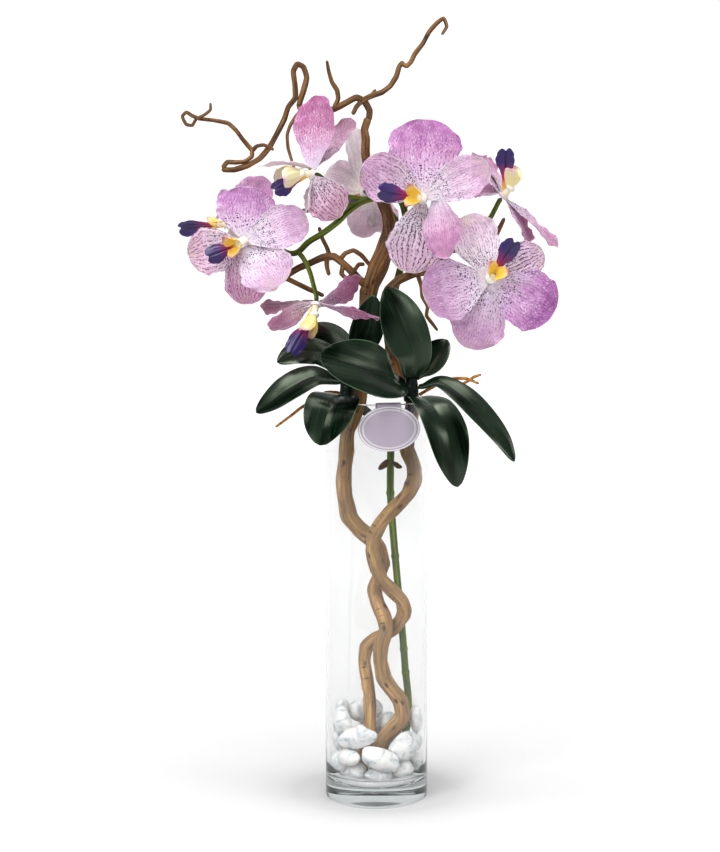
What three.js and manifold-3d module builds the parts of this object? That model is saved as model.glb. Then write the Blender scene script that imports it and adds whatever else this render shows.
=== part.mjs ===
// A vanda orchid arranged in a tall clear glass cylinder: white pebbles hold two
// contorted hazel branches and the green orchid stem, two fans of strap leaves sit
// in the mouth, eight blooms are carried on the flower spike above them, and a plain
// oval card hangs over the rim.
// Millimetres, +Z up. The origin is the centre of the vase's foot; -Y is the front.
import * as THREE from 'three';
import { mergeVertices } from 'three/addons/utils/BufferGeometryUtils.js';
import Module from 'manifold-3d';

const wasm = await Module();
wasm.setup();

// ---------------------------------------------------------------- driving dimensions
const CLEARANCE = 0.3; // gap kept between pieces that touch
const LOOSE_SCRAP = 1; // cubic millimetres, the most that fusing may drop

const VASE = {
  radius: 51,
  height: 400,
  wall: 3,
  base: 17, // solid glass under the cavity
  cavityFillet: 22,
  heelFillet: 4,
  sides: 36,
};

const PETAL_THICKNESS = 1.0;
const LIP_THICKNESS = 1.2;
const LEAF_THICKNESS = 1.6;
const CARD = { width: 62, height: 44, thickness: 0.8, bearing: 13, neck: 3, tab: 24, tabDrop: 9 };

// ---------------------------------------------------------------- materials
const finish = (color, roughness, more = {}) =>
  new THREE.MeshStandardMaterial({ color, roughness, metalness: 0, ...more });
const glass = finish('#dfe8e8', 0.03, { transparent: true, opacity: 0.35 });
const marble = finish('#eef0ee', 0.5);
const hazel = finish('#8a6238', 0.7);
const stemGreen = finish('#5f7526', 0.5);
const leafGreen = finish('#17331f', 0.3);
const rootBrown = finish('#b9772a', 0.6);
const petalLilac = finish('#cf9ad3', 0.6);
const lipIndigo = finish('#4b2a7a', 0.4);
const cardLilac = finish('#c3b8c8', 0.6);

// ---------------------------------------------------------------- solids
/** Position-only copy with shared vertices merged, as a closed solid needs. */
function weld(geometry) {
  const bare = geometry.clone();
  bare.deleteAttribute('normal');
  bare.deleteAttribute('uv');
  return mergeVertices(bare, 1e-4);
}

/** A closed geometry as a manifold solid. */
function solid(geometry) {
  const welded = weld(geometry);
  return new wasm.Manifold(new wasm.Mesh({
    numProp: 3,
    vertProperties: new Float32Array(welded.attributes.position.array),
    triVerts: new Uint32Array(welded.index.array),
  }));
}

/** Several crossing geometries fused into one closed body, any hollow they seal filled. */
function fuse(geometries) {
  const joined = geometries.map(solid).reduce((whole, next) => whole.add(next));
  const [body, ...rest] = joined.decompose().sort((a, b) => b.volume() - a.volume());
  const loose = rest.find((piece) => piece.volume() > LOOSE_SCRAP);
  if (loose) throw new Error(`a piece hangs loose at ${loose.boundingBox().min}`);
  const mesh = body.getMesh();
  const geometry = new THREE.BufferGeometry();
  const position = new Float32Array(mesh.numVert * 3);
  for (let i = 0; i < mesh.numVert; i += 1) {
    for (let k = 0; k < 3; k += 1) position[3 * i + k] = mesh.vertProperties[mesh.numProp * i + k];
  }
  geometry.setAttribute('position', new THREE.BufferAttribute(position, 3));
  geometry.setIndex(new THREE.BufferAttribute(new Uint32Array(mesh.triVerts), 1));
  return geometry;
}

/**
 * A thin blade: surface(u, v) with u from -1 to 1 across and v from 0 to 1 along,
 * given a thickness along its normal. Both faces have the same diagonals.
 */
function blade(surface, across, along, thickness) {
  const step = 1e-3;
  const position = [];
  for (const side of [0.5, -0.5]) {
    for (let j = 0; j <= along; j += 1) {
      for (let i = 0; i <= across; i += 1) {
        const u = -1 + (2 * i) / across;
        const v = 1 - (1 - j / along) ** 1.5;
        const du = surface(u + step, v).sub(surface(u - step, v));
        const dv = surface(u, Math.min(v + step, 1)).sub(surface(u, Math.max(v - step, 0)));
        const normal = du.cross(dv).normalize();
        const point = surface(u, v).addScaledVector(normal, side * thickness);
        position.push(point.x, point.y, point.z);
      }
    }
  }
  const layer = (across + 1) * (along + 1);
  const at = (i, j) => j * (across + 1) + i;
  const index = [];
  const wall = (a, b) => index.push(a + layer, b + layer, b, a + layer, b, a);
  for (let j = 0; j < along; j += 1) {
    for (let i = 0; i < across; i += 1) {
      const [a, b, c, d] = [at(i, j), at(i + 1, j), at(i + 1, j + 1), at(i, j + 1)];
      index.push(a, b, c, a, c, d);
      index.push(a + layer, c + layer, b + layer, a + layer, d + layer, c + layer);
    }
    wall(at(across, j), at(across, j + 1));
    wall(at(0, j + 1), at(0, j));
  }
  for (let i = 0; i < across; i += 1) {
    wall(at(i, 0), at(i + 1, 0));
    wall(at(i + 1, along), at(i, along));
  }
  const geometry = new THREE.BufferGeometry();
  geometry.setAttribute('position', new THREE.Float32BufferAttribute(position, 3));
  geometry.setIndex(index);
  return geometry;
}

/** A smooth line through [x, y, z, ...] stations, and the other value at each place. */
function line(route) {
  const points = route.map(([x, y, z]) => new THREE.Vector3(x, y, z));
  return new THREE.CatmullRomCurve3(points, false, 'centripetal');
}

/** A rod with round closed section through [x, y, z, radius] stations. */
function rod(route, sides, steps) {
  const curve = line(route);
  const frames = curve.computeFrenetFrames(steps, false);
  const geometry = new THREE.CylinderGeometry(1, 1, 1, sides, steps);
  const place = geometry.attributes.position;
  for (let i = 0; i < place.count; i += 1) {
    const along = 0.5 - place.getY(i);
    const station = Math.round(along * steps);
    const reach = curve.getUtoTmapping(along) * (route.length - 1);
    const from = Math.min(Math.floor(reach), route.length - 2);
    const radius = THREE.MathUtils.lerp(route[from][3], route[from + 1][3], reach - from);
    const point = curve.getPointAt(along)
      .addScaledVector(frames.normals[station], radius * place.getX(i))
      .addScaledVector(frames.binormals[station], radius * place.getZ(i));
    place.setXYZ(i, point.x, point.y, point.z);
  }
  return weld(geometry);
}

const part = new THREE.Group();

function add(name, geometry, material) {
  const mesh = new THREE.Mesh(geometry, material);
  mesh.name = name;
  part.add(mesh);
  return mesh;
}

// ---------------------------------------------------------------- vase
// A blown cylinder with a thick flat base and a rounded cavity floor.
function quarter(x, z, radius, from, to, steps) {
  return Array.from({ length: steps + 1 }, (_, i) => {
    const angle = THREE.MathUtils.degToRad(from + ((to - from) * i) / steps);
    return new THREE.Vector2(x + radius * Math.cos(angle), z + radius * Math.sin(angle));
  });
}

function vase() {
  const { radius, height, wall, base, cavityFillet, heelFillet, sides } = VASE;
  const inside = radius - wall;
  const rim = wall / 2;
  const profile = [
    new THREE.Vector2(0, 0),
    ...quarter(radius - heelFillet, heelFillet, heelFillet, -90, 0, 1),
    ...quarter(radius - rim, height - rim, rim, 0, 180, 2),
    ...quarter(inside - cavityFillet, base + cavityFillet, cavityFillet, 0, -90, 4),
    new THREE.Vector2(0, base),
  ];
  const turned = weld(new THREE.LatheGeometry(profile, sides));
  turned.rotateX(Math.PI / 2);
  return turned;
}
add('vase', vase(), glass);

// ---------------------------------------------------------------- branches
// Two contorted hazel branches stand on the vase floor and twine past each other.
const BRANCH_A = [
  [1, -1, 17.3, 7.5], [1, -1, 30, 7.5], [4, -1, 52, 7.5], [9, -1, 62, 7.6], [17, -2, 70, 7.6],
  [26, -3, 82, 7.8], [24, -4, 98, 7.6], [16, -6, 110, 7.4], [7, -8, 123, 7.4], [4, -9, 140, 7.2],
  [5, -11, 156, 7.2], [9, -11, 171, 7.2], [7, -7, 184, 7.2], [1, 0, 198, 7.2], [-2, 7, 210, 7.2],
  [2, 10, 222, 7.2], [6, 11, 236, 7.2], [3, 11, 251, 7.4], [-6, 11, 260, 7.8],
  [-17, 9, 270, 8.2], [-28, 6, 284, 8.2], [-32, 5, 306, 7.8], [-32, 4, 335, 7.4],
  [-28, 3, 370, 7.2], [-18, 3, 393, 7], [-14, 3, 430, 6.6], [-13, 3, 460, 6.6], [-10, 5, 490, 7.4],
  [-6, 6, 513, 8.6], [0, 6, 530, 9.4], [8, 6, 547, 9], [13, 6, 565, 7.4], [10, 6, 585, 5.8],
  [1, 6, 606, 5], [-8, 6, 626, 4.6], [-11, 6, 641, 4.2], [-11, 6, 656, 4], [-12, 6, 666, 3.8],
  [-8, 6, 678, 3.6],
];
const BRANCH_A_TWIGS = [
  // the arch, running on behind the upper bloom into the long left loop
  [[-8, 6, 674, 3.6], [-7, 6, 684, 3.6], [-12, 6, 693, 3.6], [-20, 6, 697, 3.6], [-30, 6, 692, 3.5],
    [-42, 8, 686, 3.4], [-58, 12, 681, 3.3], [-72, 13, 681, 3.2], [-76, 12, 690, 3.2],
    [-72, 10, 704, 3.2], [-69, 10, 717, 3.1], [-72, 10, 727, 3], [-78, 10, 730, 3],
    [-82, 10, 723, 3], [-80, 10, 708, 3], [-80, 10, 697, 3], [-87, 10, 688, 3],
    [-91, 10, 676, 3], [-97, 10, 664, 3], [-105, 10, 650, 3.1], [-115, 10, 638, 3.1],
    [-127, 10, 631, 3.1], [-140, 10, 627, 3], [-153, 10, 627, 2.8]],
  [[-152, 9.5, 628, 2.5], [-147, 8, 634, 2.5], [-138, 8, 634, 2.5], [-130, 8, 635, 2.4],
    [-123, 9, 640, 2.4], [-123, 10, 649, 2.4]],
  [[-122, 10, 645, 2.6], [-127, 10, 651, 2.5], [-132, 9, 657, 2.4], [-138, 9, 665, 2.4],
    [-146, 9, 672, 2.3], [-160, 9, 675, 2.2], [-175, 9, 677, 2.1], [-182, 9, 680, 2],
    [-187, 9, 683, 2], [-191, 9, 679, 1.9], [-187, 8, 671, 1.9], [-181, 7, 670, 1.8],
    [-177, 5, 676, 1.8], [-169, 4, 680, 1.7], [-163, 4, 685, 1.6], [-163, 4, 692, 1.3]],
  [[-123, 10, 645, 2.4], [-118, 9, 650, 2.2], [-111, 8, 651, 2], [-101, 8, 646, 1.6]],
  [[-72, 12.5, 687, 2.6], [-80, 10, 678, 2.2], [-85, 7, 670, 2], [-88, 5, 661, 1.8], [-87, 4, 648, 1.8],
    [-83, 4, 634, 1.7], [-80, 4, 624, 1.6]],
  [[-42, 8, 687, 2.6], [-38, 8, 696, 2.6], [-39, 7, 704, 2.6], [-44, 6, 712, 2.4],
    [-47, 6, 722, 2.2], [-49, 6, 733, 1.5]],
  [[-24, 2, 680, 2.2], [-20, 3, 688, 2.6], [-14, 4, 694, 3], [-4, 5, 699, 3],
    [5, 5, 702, 3], [13, 5, 708, 2.9], [19, 4, 717, 2.8], [22, 4, 727, 2.7], [26, 3, 732, 2.6]],
  [[24, 3, 730, 2.4], [29, 3, 727, 2.6], [33, 2, 731, 2.6], [37, 1, 739, 2.6], [45, 0, 749, 2.6],
    [51, 0, 760, 2.5], [58, 0, 768, 2.4], [65, 0, 773, 2.2], [68, 0, 765, 2], [63, 1, 757, 1.4]],
  [[-5, 5, 699, 2.4], [-1, 5, 705, 1.4]],
  // the knotted tangle that leaves the branch to the left, behind the lower bloom
  [[-8, 6, 512, 4.6], [-17, 4, 519, 4.2], [-25, 2, 527, 4], [-33, 1, 535, 4], [-42, 1, 542, 4],
    [-53, 3, 541, 4], [-66, 5, 535, 3.8], [-78, 6, 530, 3.6], [-89, 6, 523, 3.6], [-93, 6, 517, 3]],
  [[-90, 6, 521, 3], [-80, 6, 516, 2.8], [-66, 6, 509, 2.6], [-52, 6, 503, 2.2]],
  [[-46, 2, 541, 2.8], [-49, 7, 550, 2.4], [-54, 10, 560, 2.2], [-57, 11, 571, 1.8]],
  [[-49, 2, 541, 3], [-49, 1, 532, 2.6], [-47, 1, 523, 2]],
  [[-36, 1, 539, 2.8], [-31, 1, 545, 2.6], [-23, 1, 548, 2.4], [-15, 2, 543, 2.4],
    [-6, 4, 532, 2.2]],
  [[-33, 1, 534, 2.8], [-35, -1, 525, 2.4], [-29, -3, 520, 2.2], [-23, -2, 527, 2.2],
    [-18, 0, 534, 2.2], [-12, 4, 534, 2]],
];
const BRANCH_B = [
  [-15, 1, 17.3, 6.6], [-15, 1, 32, 6.6], [-12, 2, 50, 6.4], [-7, 3, 68, 6.2],
  [-6, 5, 86, 6.2], [-7, 7, 102, 6.2], [-10, 10, 120, 6.2], [-12, 13, 136, 6.4],
  [-10, 15, 150, 6.8], [-1, 15, 158, 6.8], [9, 13, 163, 6.8], [17, 7, 170, 6.8],
  [24, 0, 180, 6.8], [28, -4, 190, 6.8], [25, -7, 201, 6.8], [15, -8, 211, 6.8],
  [6, -9, 221, 6.8], [0, -11, 235, 6.8], [-5, -13, 252, 6.8], [-3, -14, 266, 6.8],
  [5, -14, 280, 6.8], [18, -13, 295, 6.8], [31, -11, 309, 7], [37, -9, 322, 7.2],
  [36, -6, 336, 7.2], [30, -2, 352, 7], [33, 3, 372, 6.8], [37, 6, 396, 6.6], [27, 8, 420, 6.4],
  [16, 7, 448, 6.2], [13, 4, 466, 6], [8, 0, 492, 5.4], [11, -2, 509, 4.6], [22, -2, 519, 4.2],
  [38, -1, 525, 3.8], [49, 0, 527, 3.4], [58, 4, 535, 3.2], [70, 8, 546, 3], [88, 11, 551, 2.8],
  [106, 11, 553, 2.6], [117, 10, 560, 2.4], [122, 9, 571, 2.2], [126, 9, 580, 1.6],
];
const BRANCH_B_TWIGS = [
  [[40, -1, 525, 2.6], [44, -2, 512, 2.4], [45, -4, 502, 2.2], [50, -6, 493, 2.1],
    [49, -7, 484, 2], [54, -7, 477, 1.9], [60, -7, 469, 1.4]],
  [[37, -9, 331, 4], [44, -9, 334, 2.4]],
];

const BRANCH_GIRTH = 1.05; // on every trunk radius above

function branch(trunk, twigs, steps) {
  const stout = trunk.map(([x, y, z, radius]) => [x, y, z, radius * BRANCH_GIRTH]);
  return fuse([rod(stout, 7, steps), ...twigs.map((route) => rod(route, 5, Math.ceil(route.length * 0.8)))]);
}
add('branch_left', branch(BRANCH_A, BRANCH_A_TWIGS, 42), hazel);
add('branch_right', branch(BRANCH_B, BRANCH_B_TWIGS, 48), hazel);

// ---------------------------------------------------------------- orchid stem
// The green stem rises behind the branches, forks under two leaf-base crowns in the
// mouth and runs on as the flower spike, whose pedicels end behind the blooms.
const STEM = [
  [15, 12, 17.3, 3.7], [15, 12, 30, 3.7], [27, 16, 54, 3.7], [33, 18, 74, 3.7], [33, 18, 95, 3.7],
  [30, 18, 123, 3.7], [28, 18, 147, 3.7], [26, 18, 170, 3.7], [22, 16, 210, 3.7],
  [19, 16, 242, 3.7], [16, 16, 277, 3.7], [14, 14, 306, 3.7], [14, 10, 331, 3.7],
  [14, 2, 356, 3.8], [13, -8, 378, 4.2],
];
const STEM_NODES = [[30, 18, 123], [28, 18, 147], [19, 16, 242], [14.4, 14, 306]];
const CROWNS = { left: [-29, -14, 404], right: [34, -15, 398] };
const CROWN = { radius: 8, height: 34, neck: 5, sides: 10 };
const STEM_ARMS = [
  [[14, 4, 352, 3.9], [6, 17, 368, 4], [-12, 20, 384, 4], [-32, 14, 394, 4], [-36, 0, 399, 4.4],
    [-29, -14, 410, 5]],
  [[13, -7, 375, 4.2], [21, -13, 381, 4.4], [31, -15, 388, 4.8], [34, -15, 402, 5.5]],
];
const SPIKE = [
  [[34, -13, 424, 4.2], [30, -4, 440, 4.2], [27, 14, 456, 4], [20, 19, 480, 3.8],
    [18, 18, 505, 3.7], [24, 16, 532, 3.6], [28, 10, 562, 3.5], [28, 0, 582, 3.4],
    [22, -8, 597, 3.4], [8, -9, 599, 3.3], [-6, -9, 598, 3.3], [-17, -8, 594, 3.3],
    [-28, -6, 586, 3.2], [-38, -4, 576, 3.2], [-54, -3, 564, 3.1], [-67, -3, 556, 3.1],
    [-78, -3, 546, 3], [-86, -5, 545, 2.8], [-100, -9, 552, 2.6], [-116, -12, 556, 2.5]],
  [[28, 4, 574, 3.2], [42, 2, 582, 3], [62, 5, 582, 2.8], [84, 6, 576, 2.7],
    [100, 4, 573, 2.6], [110, 2, 578, 2.5], [116, 1, 588, 2.4]],
];
// Pedicels by the bloom that each one carries; the last station is set from the bloom.
const PEDICELS = {
  upper_left: [[-2, -9, 598, 2.8], [-14, -5, 598, 2.6], [-26, 3, 600, 2.5], [-42, 7, 606, 2.4]],
  back_left: [[-14, -8, 595, 2.6], [-26, 2, 592, 2.5], [-42, 17, 590, 2.4], [-62, 24, 588, 2.4],
    [-100, 24, 583, 2.3]],
  lower_left: [[-78, -3, 547, 2.6], [-72, -8, 540, 2.5], [-66, -12, 528, 2.4], [-62, -14, 514, 2.3]],
  back: [[28, 10, 564, 2.6], [18, 17, 580, 2.5], [4, 20, 596, 2.4]],
  centre: [[26, -3, 588, 2.8], [33, -8, 597, 2.6]],
  lower_right: [[80, 6, 577, 2.6], [94, 0, 564, 2.5], [103, -8, 545, 2.4]],
};

// ---------------------------------------------------------------- blooms
// Each bloom: hub place, facing direction, lip vector, the way the midlobe's face looks
// (lipFace) where it isn't the way the bloom faces, and five tepals. A tepal has the
// vector to its tip, the way its face looks, its width, cup, wave height, phase and curl,
// and where it needs them an arch and a shift of its base from the hub (from).
const BLOOMS = {
  left: {
    hub: [-130, -22, 556], facing: [-0.25, -0.95, -0.1], lip: [-34, -14, -15],
    tepals: [
      { tip: [3, 6, 54], face: [0, -1, 0.1], width: 58, cup: 0.1, wave: 3, phase: 0.5, curl: -5 },
      { tip: [62, -4, 24], face: [-0.1, -1, 0.2], width: 44, cup: 0.1, wave: 3.5, phase: 2, curl: -4, petal: true },
      { tip: [36, -16, -44], face: [0.1, -1, 0.2], width: 54, cup: 0.15, wave: 4, phase: 1, curl: 4 },
      { tip: [2, 14, -62], face: [0, -1, -0.1], width: 42, cup: 0.1, wave: 3, phase: 3, curl: -5 },
      { tip: [-54, 2, -14], face: [0, -1, 0], width: 46, cup: 0.1, wave: 3.5, phase: 4, curl: -6, petal: true },
    ],
  },
  upper_left: {
    hub: [-65, -10, 622], facing: [-0.92, -0.35, 0.1], lip: [-33, -12, -18], lipFace: [-0.2, -1, 0.3],
    tepals: [
      { tip: [11, 8, 76], face: [-0.5, -0.85, 0], width: 46, cup: 0.25, wave: 4, phase: 0, curl: 4 },
      { tip: [40, 22, 57], face: [-0.5, -0.8, 0.2], width: 30, cup: 0.2, wave: 4, phase: 1, curl: -4, petal: true },
      { tip: [29, -8, -41], face: [-0.5, -0.85, -0.1], width: 46, cup: 0.15, wave: 4, phase: 2, curl: -4 },
      { tip: [-4, 12, -43], face: [-0.9, -0.2, 0.3], width: 30, cup: 0.1, wave: 3, phase: 3, curl: 3 },
      { tip: [-50, -14, 6], face: [0, 0.1, 1], width: 30, cup: 0.05, wave: 1.5, phase: 4, curl: 0,
        from: [4, 0, 4], arch: 5, petal: true },
    ],
  },
  back_left: {
    turned: true, // faces away from the front, so fewer facets will do
    hub: [-147, 22, 574], facing: [-0.85, 0.45, 0.1], lip: [-48, 5, -6],
    tepals: [
      { tip: [38, 16, 44], face: [-0.4, -0.9, 0], width: 40, cup: 0.1, wave: 3, phase: 0, curl: 4 },
      { tip: [42, 34, 12], face: [-0.7, 0.7, 0], width: 42, cup: 0.1, wave: 3, phase: 1, curl: 4, petal: true },
      { tip: [22, 30, -44], face: [-0.6, 0.7, -0.2], width: 42, cup: 0.1, wave: 3, phase: 2, curl: 4 },
      { tip: [-2, 16, -48], face: [-0.8, 0.5, -0.3], width: 40, cup: 0.1, wave: 3, phase: 3, curl: 4 },
      { tip: [-8, 46, 24], face: [-0.9, 0.1, 0.2], width: 40, cup: 0.1, wave: 3, phase: 4, curl: 4, petal: true },
    ],
  },
  lower_left: {
    hub: [-60, -20, 494], facing: [-0.12, -0.4, -0.9], lip: [-24, -12, -44], lipFace: [0.1, -1, 0.2],
    tepals: [
      { tip: [-54, 8, 4], face: [0.1, 0.3, -1], width: 36, cup: 0.15, wave: 3, phase: 0, curl: 4, petal: true },
      { tip: [-43, -16, -22], face: [-0.2, -0.75, -0.65], width: 24, cup: 0.1, wave: 2.5, phase: 1, curl: -4 },
      { tip: [46, 6, 26], face: [0.35, -0.6, -0.75], width: 34, cup: 0.15, wave: 3, phase: 2, curl: -4, petal: true },
      { tip: [61, -20, -13], face: [0, -0.4, -0.9], width: 28, cup: 0.1, wave: 3, phase: 3, curl: -3 },
      { tip: [-14, 46, 2], face: [0.1, 0.35, -1], width: 34, cup: 0.1, wave: 3, phase: 4, curl: -2,
        from: [0, -1, -1] },
    ],
  },
  centre: {
    hub: [44, -20, 598], facing: [-0.08, -0.99, 0.05], lip: [-44, -15, 7],
    tepals: [
      { tip: [3, 8, 78], face: [0, -1, 0.1], width: 72, cup: 0.08, wave: 3.5, phase: 0.4, curl: -6 },
      { tip: [-58, -2, 32], face: [-0.1, -1, 0], width: 48, cup: 0.1, wave: 3, phase: 2, curl: -4, petal: true },
      { tip: [64, -6, 32], face: [0, -1, 0.1], width: 42, cup: 0.1, wave: 3.5, phase: 1, curl: -3, petal: true },
      { tip: [22, -18, -60], face: [-0.5, -0.85, 0.1], width: 44, cup: 0.25, wave: 4, phase: 3, curl: 4,
        from: [9, -1, 7] },
      { tip: [-12, 4, -72], face: [0, -1, -0.1], width: 54, cup: 0.1, wave: 4, phase: 4, curl: -5 },
    ],
  },
  back: {
    turned: true,
    hub: [-12, 24, 606], facing: [-0.15, 0.98, 0.05], lip: [-16, 22, -16],
    tepals: [
      { tip: [-10, 4, 64], face: [0, 1, 0], width: 24, cup: 0.15, wave: 3, phase: 0, curl: 4 },
      { tip: [-40, 14, 18], face: [0.2, 1, 0], width: 40, cup: 0.1, wave: 3, phase: 1, curl: 2, petal: true },
      { tip: [-2, 2, -46], face: [0, 1, 0.1], width: 32, cup: 0.1, wave: 3, phase: 2, curl: 2 },
      { tip: [28, 4, -38], face: [-0.1, 1, 0], width: 32, cup: 0.1, wave: 3, phase: 3, curl: 4 },
      { tip: [34, 12, 34], face: [-0.2, 1, 0], width: 38, cup: 0.1, wave: 3, phase: 4, curl: 4, petal: true },
    ],
  },
  right: {
    hub: [125, -2, 602], facing: [0.6, -0.3, 0.74], lip: [-2, -5, 43], lipFace: [0.15, -1, 0.1],
    tepals: [
      { tip: [-27, 8, 44], face: [0.75, -0.3, 0.55], width: 30, cup: 0.1, wave: 3, phase: 0, curl: -4 },
      { tip: [-30, 7, 6], face: [0.3, -0.5, 0.9], width: 34, cup: 0.1, wave: 1.5, phase: 1, curl: -4, petal: true },
      { tip: [30, 0, -43], face: [0.6, -0.45, 0.6], width: 28, cup: 0.1, wave: 3, phase: 2, curl: -5 },
      { tip: [57, 10, -48], face: [0.62, -0.3, 0.72], width: 32, cup: 0.1, wave: 3, phase: 3, curl: -5 },
      { tip: [-12, 34, 40], face: [0.75, -0.25, 0.6], width: 32, cup: 0.1, wave: 3, phase: 4, curl: -4, petal: true },
    ],
  },
  lower_right: {
    hub: [110, -26, 521], facing: [0.05, -0.99, -0.05], lip: [23, -17, 38],
    tepals: [
      { tip: [-22, 6, 62], face: [0, -1, 0.1], width: 46, cup: 0.1, wave: 3, phase: 0, curl: -5 },
      { tip: [52, 2, 26], face: [0, -1, 0], width: 38, cup: 0.1, wave: 3, phase: 1, curl: -4 },
      { tip: [-64, -4, -18], face: [0, -1, 0], width: 60, cup: 0.08, wave: 4, phase: 2, curl: -5, petal: true },
      { tip: [62, -4, -34], face: [0, -1, 0], width: 60, cup: 0.08, wave: 4, phase: 3, curl: -5, petal: true },
      { tip: [-17, 6, -70], face: [0, -1, -0.1], width: 54, cup: 0.1, wave: 4, phase: 4, curl: -5 },
    ],
  },
};
const TEPAL = { claw: 0.13, start: 4, broadest: 0.6, waves: 1.6, across: 4, along: 5 };
const SEPAL_SET_BACK = 1.5; // the three sepals stand behind the two petals
const HUB = { radius: 6, length: 4 };
const COLUMN = { radius: 3.4, length: 8, cap: 4.1 };

const vector = ([x, y, z]) => new THREE.Vector3(x, y, z);

/** Half width along a tepal, 0 to 1: a narrow claw, a broad limb and a round end. */
function tepalOutline(v) {
  const { claw, broadest } = TEPAL;
  if (v < broadest) return claw + (1 - claw) * Math.sin((Math.PI / 2) * (v / broadest)) ** 1.5;
  return Math.sqrt(1 - 0.985 * ((v - broadest) / (1 - broadest)) ** 2);
}

/**
 * A waved tepal from base along tip: straight run, plus a curl that grows with the
 * square of the way along, a cup that grows with the square of the way across, and
 * a wave that is strongest at the edges.
 */
function tepalSurface(base, { tip, face, width, cup, wave, phase, curl, arch = 0 }) {
  const run = vector(tip);
  const ahead = run.clone().normalize();
  const up = vector(face).addScaledVector(ahead, -vector(face).dot(ahead)).normalize();
  const side = ahead.clone().cross(up);
  return (u, v) => {
    const half = (width / 2) * tepalOutline(v);
    const ruffle = wave * Math.abs(u) ** 1.5 * v
      * Math.sin(2 * Math.PI * TEPAL.waves * v + phase + (u > 0 ? 0 : 2));
    const lift = curl * v * v + arch * Math.sin(Math.PI * v) + cup * half * u * u + ruffle;
    return base.clone().addScaledVector(run, v).addScaledVector(side, half * u)
      .addScaledVector(up, lift);
  };
}

/** A cylinder of one radius between two points. */
function peg(from, to, radiusFrom, radiusTo, sides) {
  const length = from.distanceTo(to);
  const geometry = new THREE.CylinderGeometry(radiusTo, radiusFrom, length, sides, 1);
  geometry.applyQuaternion(new THREE.Quaternion().setFromUnitVectors(
    new THREE.Vector3(0, 1, 0), to.clone().sub(from).normalize()));
  const middle = from.clone().lerp(to, 0.5);
  return geometry.translate(middle.x, middle.y, middle.z);
}

/** Five tepals fused to the hub at their claws. */
function perianth({ hub, facing, tepals, turned }) {
  const centre = vector(hub);
  const ahead = vector(facing).normalize();
  const blades = tepals.map((tepal) => {
    const outward = vector(tepal.tip);
    outward.addScaledVector(ahead, -outward.dot(ahead)).normalize();
    const claw = vector(tepal.from ?? [0, 0, 0]).addScaledVector(outward, TEPAL.start)
      .addScaledVector(ahead, -(tepal.petal ? 1 : 1 + SEPAL_SET_BACK));
    const tip = vector(tepal.tip).sub(claw).toArray();
    const surface = tepalSurface(claw.add(centre), { ...tepal, tip });
    return blade(surface, turned ? 2 : TEPAL.across, TEPAL.along, PETAL_THICKNESS);
  });
  const back = centre.clone().addScaledVector(ahead, -HUB.length);
  return fuse([peg(back, centre, HUB.radius - 1, HUB.radius, 6), ...blades]);
}

/** The column with its rounded anther cap, from its foot along ahead. */
function column(foot, ahead) {
  const { radius, length, cap } = COLUMN;
  const profile = [[0, 0], [radius + 0.4, 0], [radius, length * 0.8], [cap, length + 0.6],
    [cap * 0.7, length + 3.2], [0, length + 4.2]];
  const turned = new THREE.LatheGeometry(profile.map(([x, y]) => new THREE.Vector2(x, y)), 6);
  turned.applyQuaternion(new THREE.Quaternion().setFromUnitVectors(
    new THREE.Vector3(0, 1, 0), ahead));
  return turned.translate(foot.x, foot.y, foot.z);
}

/** The moulded insert: column, lip midlobe and the two side lobes beside the column. */
function columnAndLip({ hub, facing, lip, lipFace = facing }) {
  const ahead = vector(facing).normalize();
  const foot = vector(hub).addScaledVector(ahead, 0.4);
  const reach = vector(lip);
  const lipWay = reach.clone().addScaledVector(ahead, -reach.dot(ahead)).normalize();
  const side = ahead.clone().cross(lipWay);
  const throat = foot.clone().addScaledVector(ahead, 3);
  const ears = foot.clone().addScaledVector(ahead, 5.4);
  const midlobe = tepalSurface(throat, {
    tip: lip, face: lipFace, width: 16, cup: -0.2, wave: 0.8, phase: 1, curl: 2,
  });
  const lobes = [1, -1].map((way) => tepalSurface(ears, {
    tip: reach.clone().multiplyScalar(0.36).addScaledVector(ahead, 8).addScaledVector(side, 8 * way)
      .toArray(),
    face: side.clone().multiplyScalar(-way).addScaledVector(ahead, 0.4).toArray(),
    width: 12, cup: 0.2, wave: 0, phase: 0, curl: 0,
  }));
  return fuse([
    column(foot, ahead),
    blade(midlobe, 2, 4, LIP_THICKNESS),
    ...lobes.map((surface) => blade(surface, 2, 2, LIP_THICKNESS)),
  ]);
}

/** Where a pedicel ends: on the bloom's axis, just clear of the back of its hub. */
function pedicelEnd({ hub, facing }) {
  const behind = vector(facing).normalize().multiplyScalar(-(HUB.length + CLEARANCE));
  return vector(hub).add(behind);
}

for (const [name, bloom] of Object.entries(BLOOMS)) {
  add(`bloom_${name}`, perianth(bloom), petalLilac);
  add(`bloom_${name}_lip`, columnAndLip(bloom), lipIndigo);
}

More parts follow.
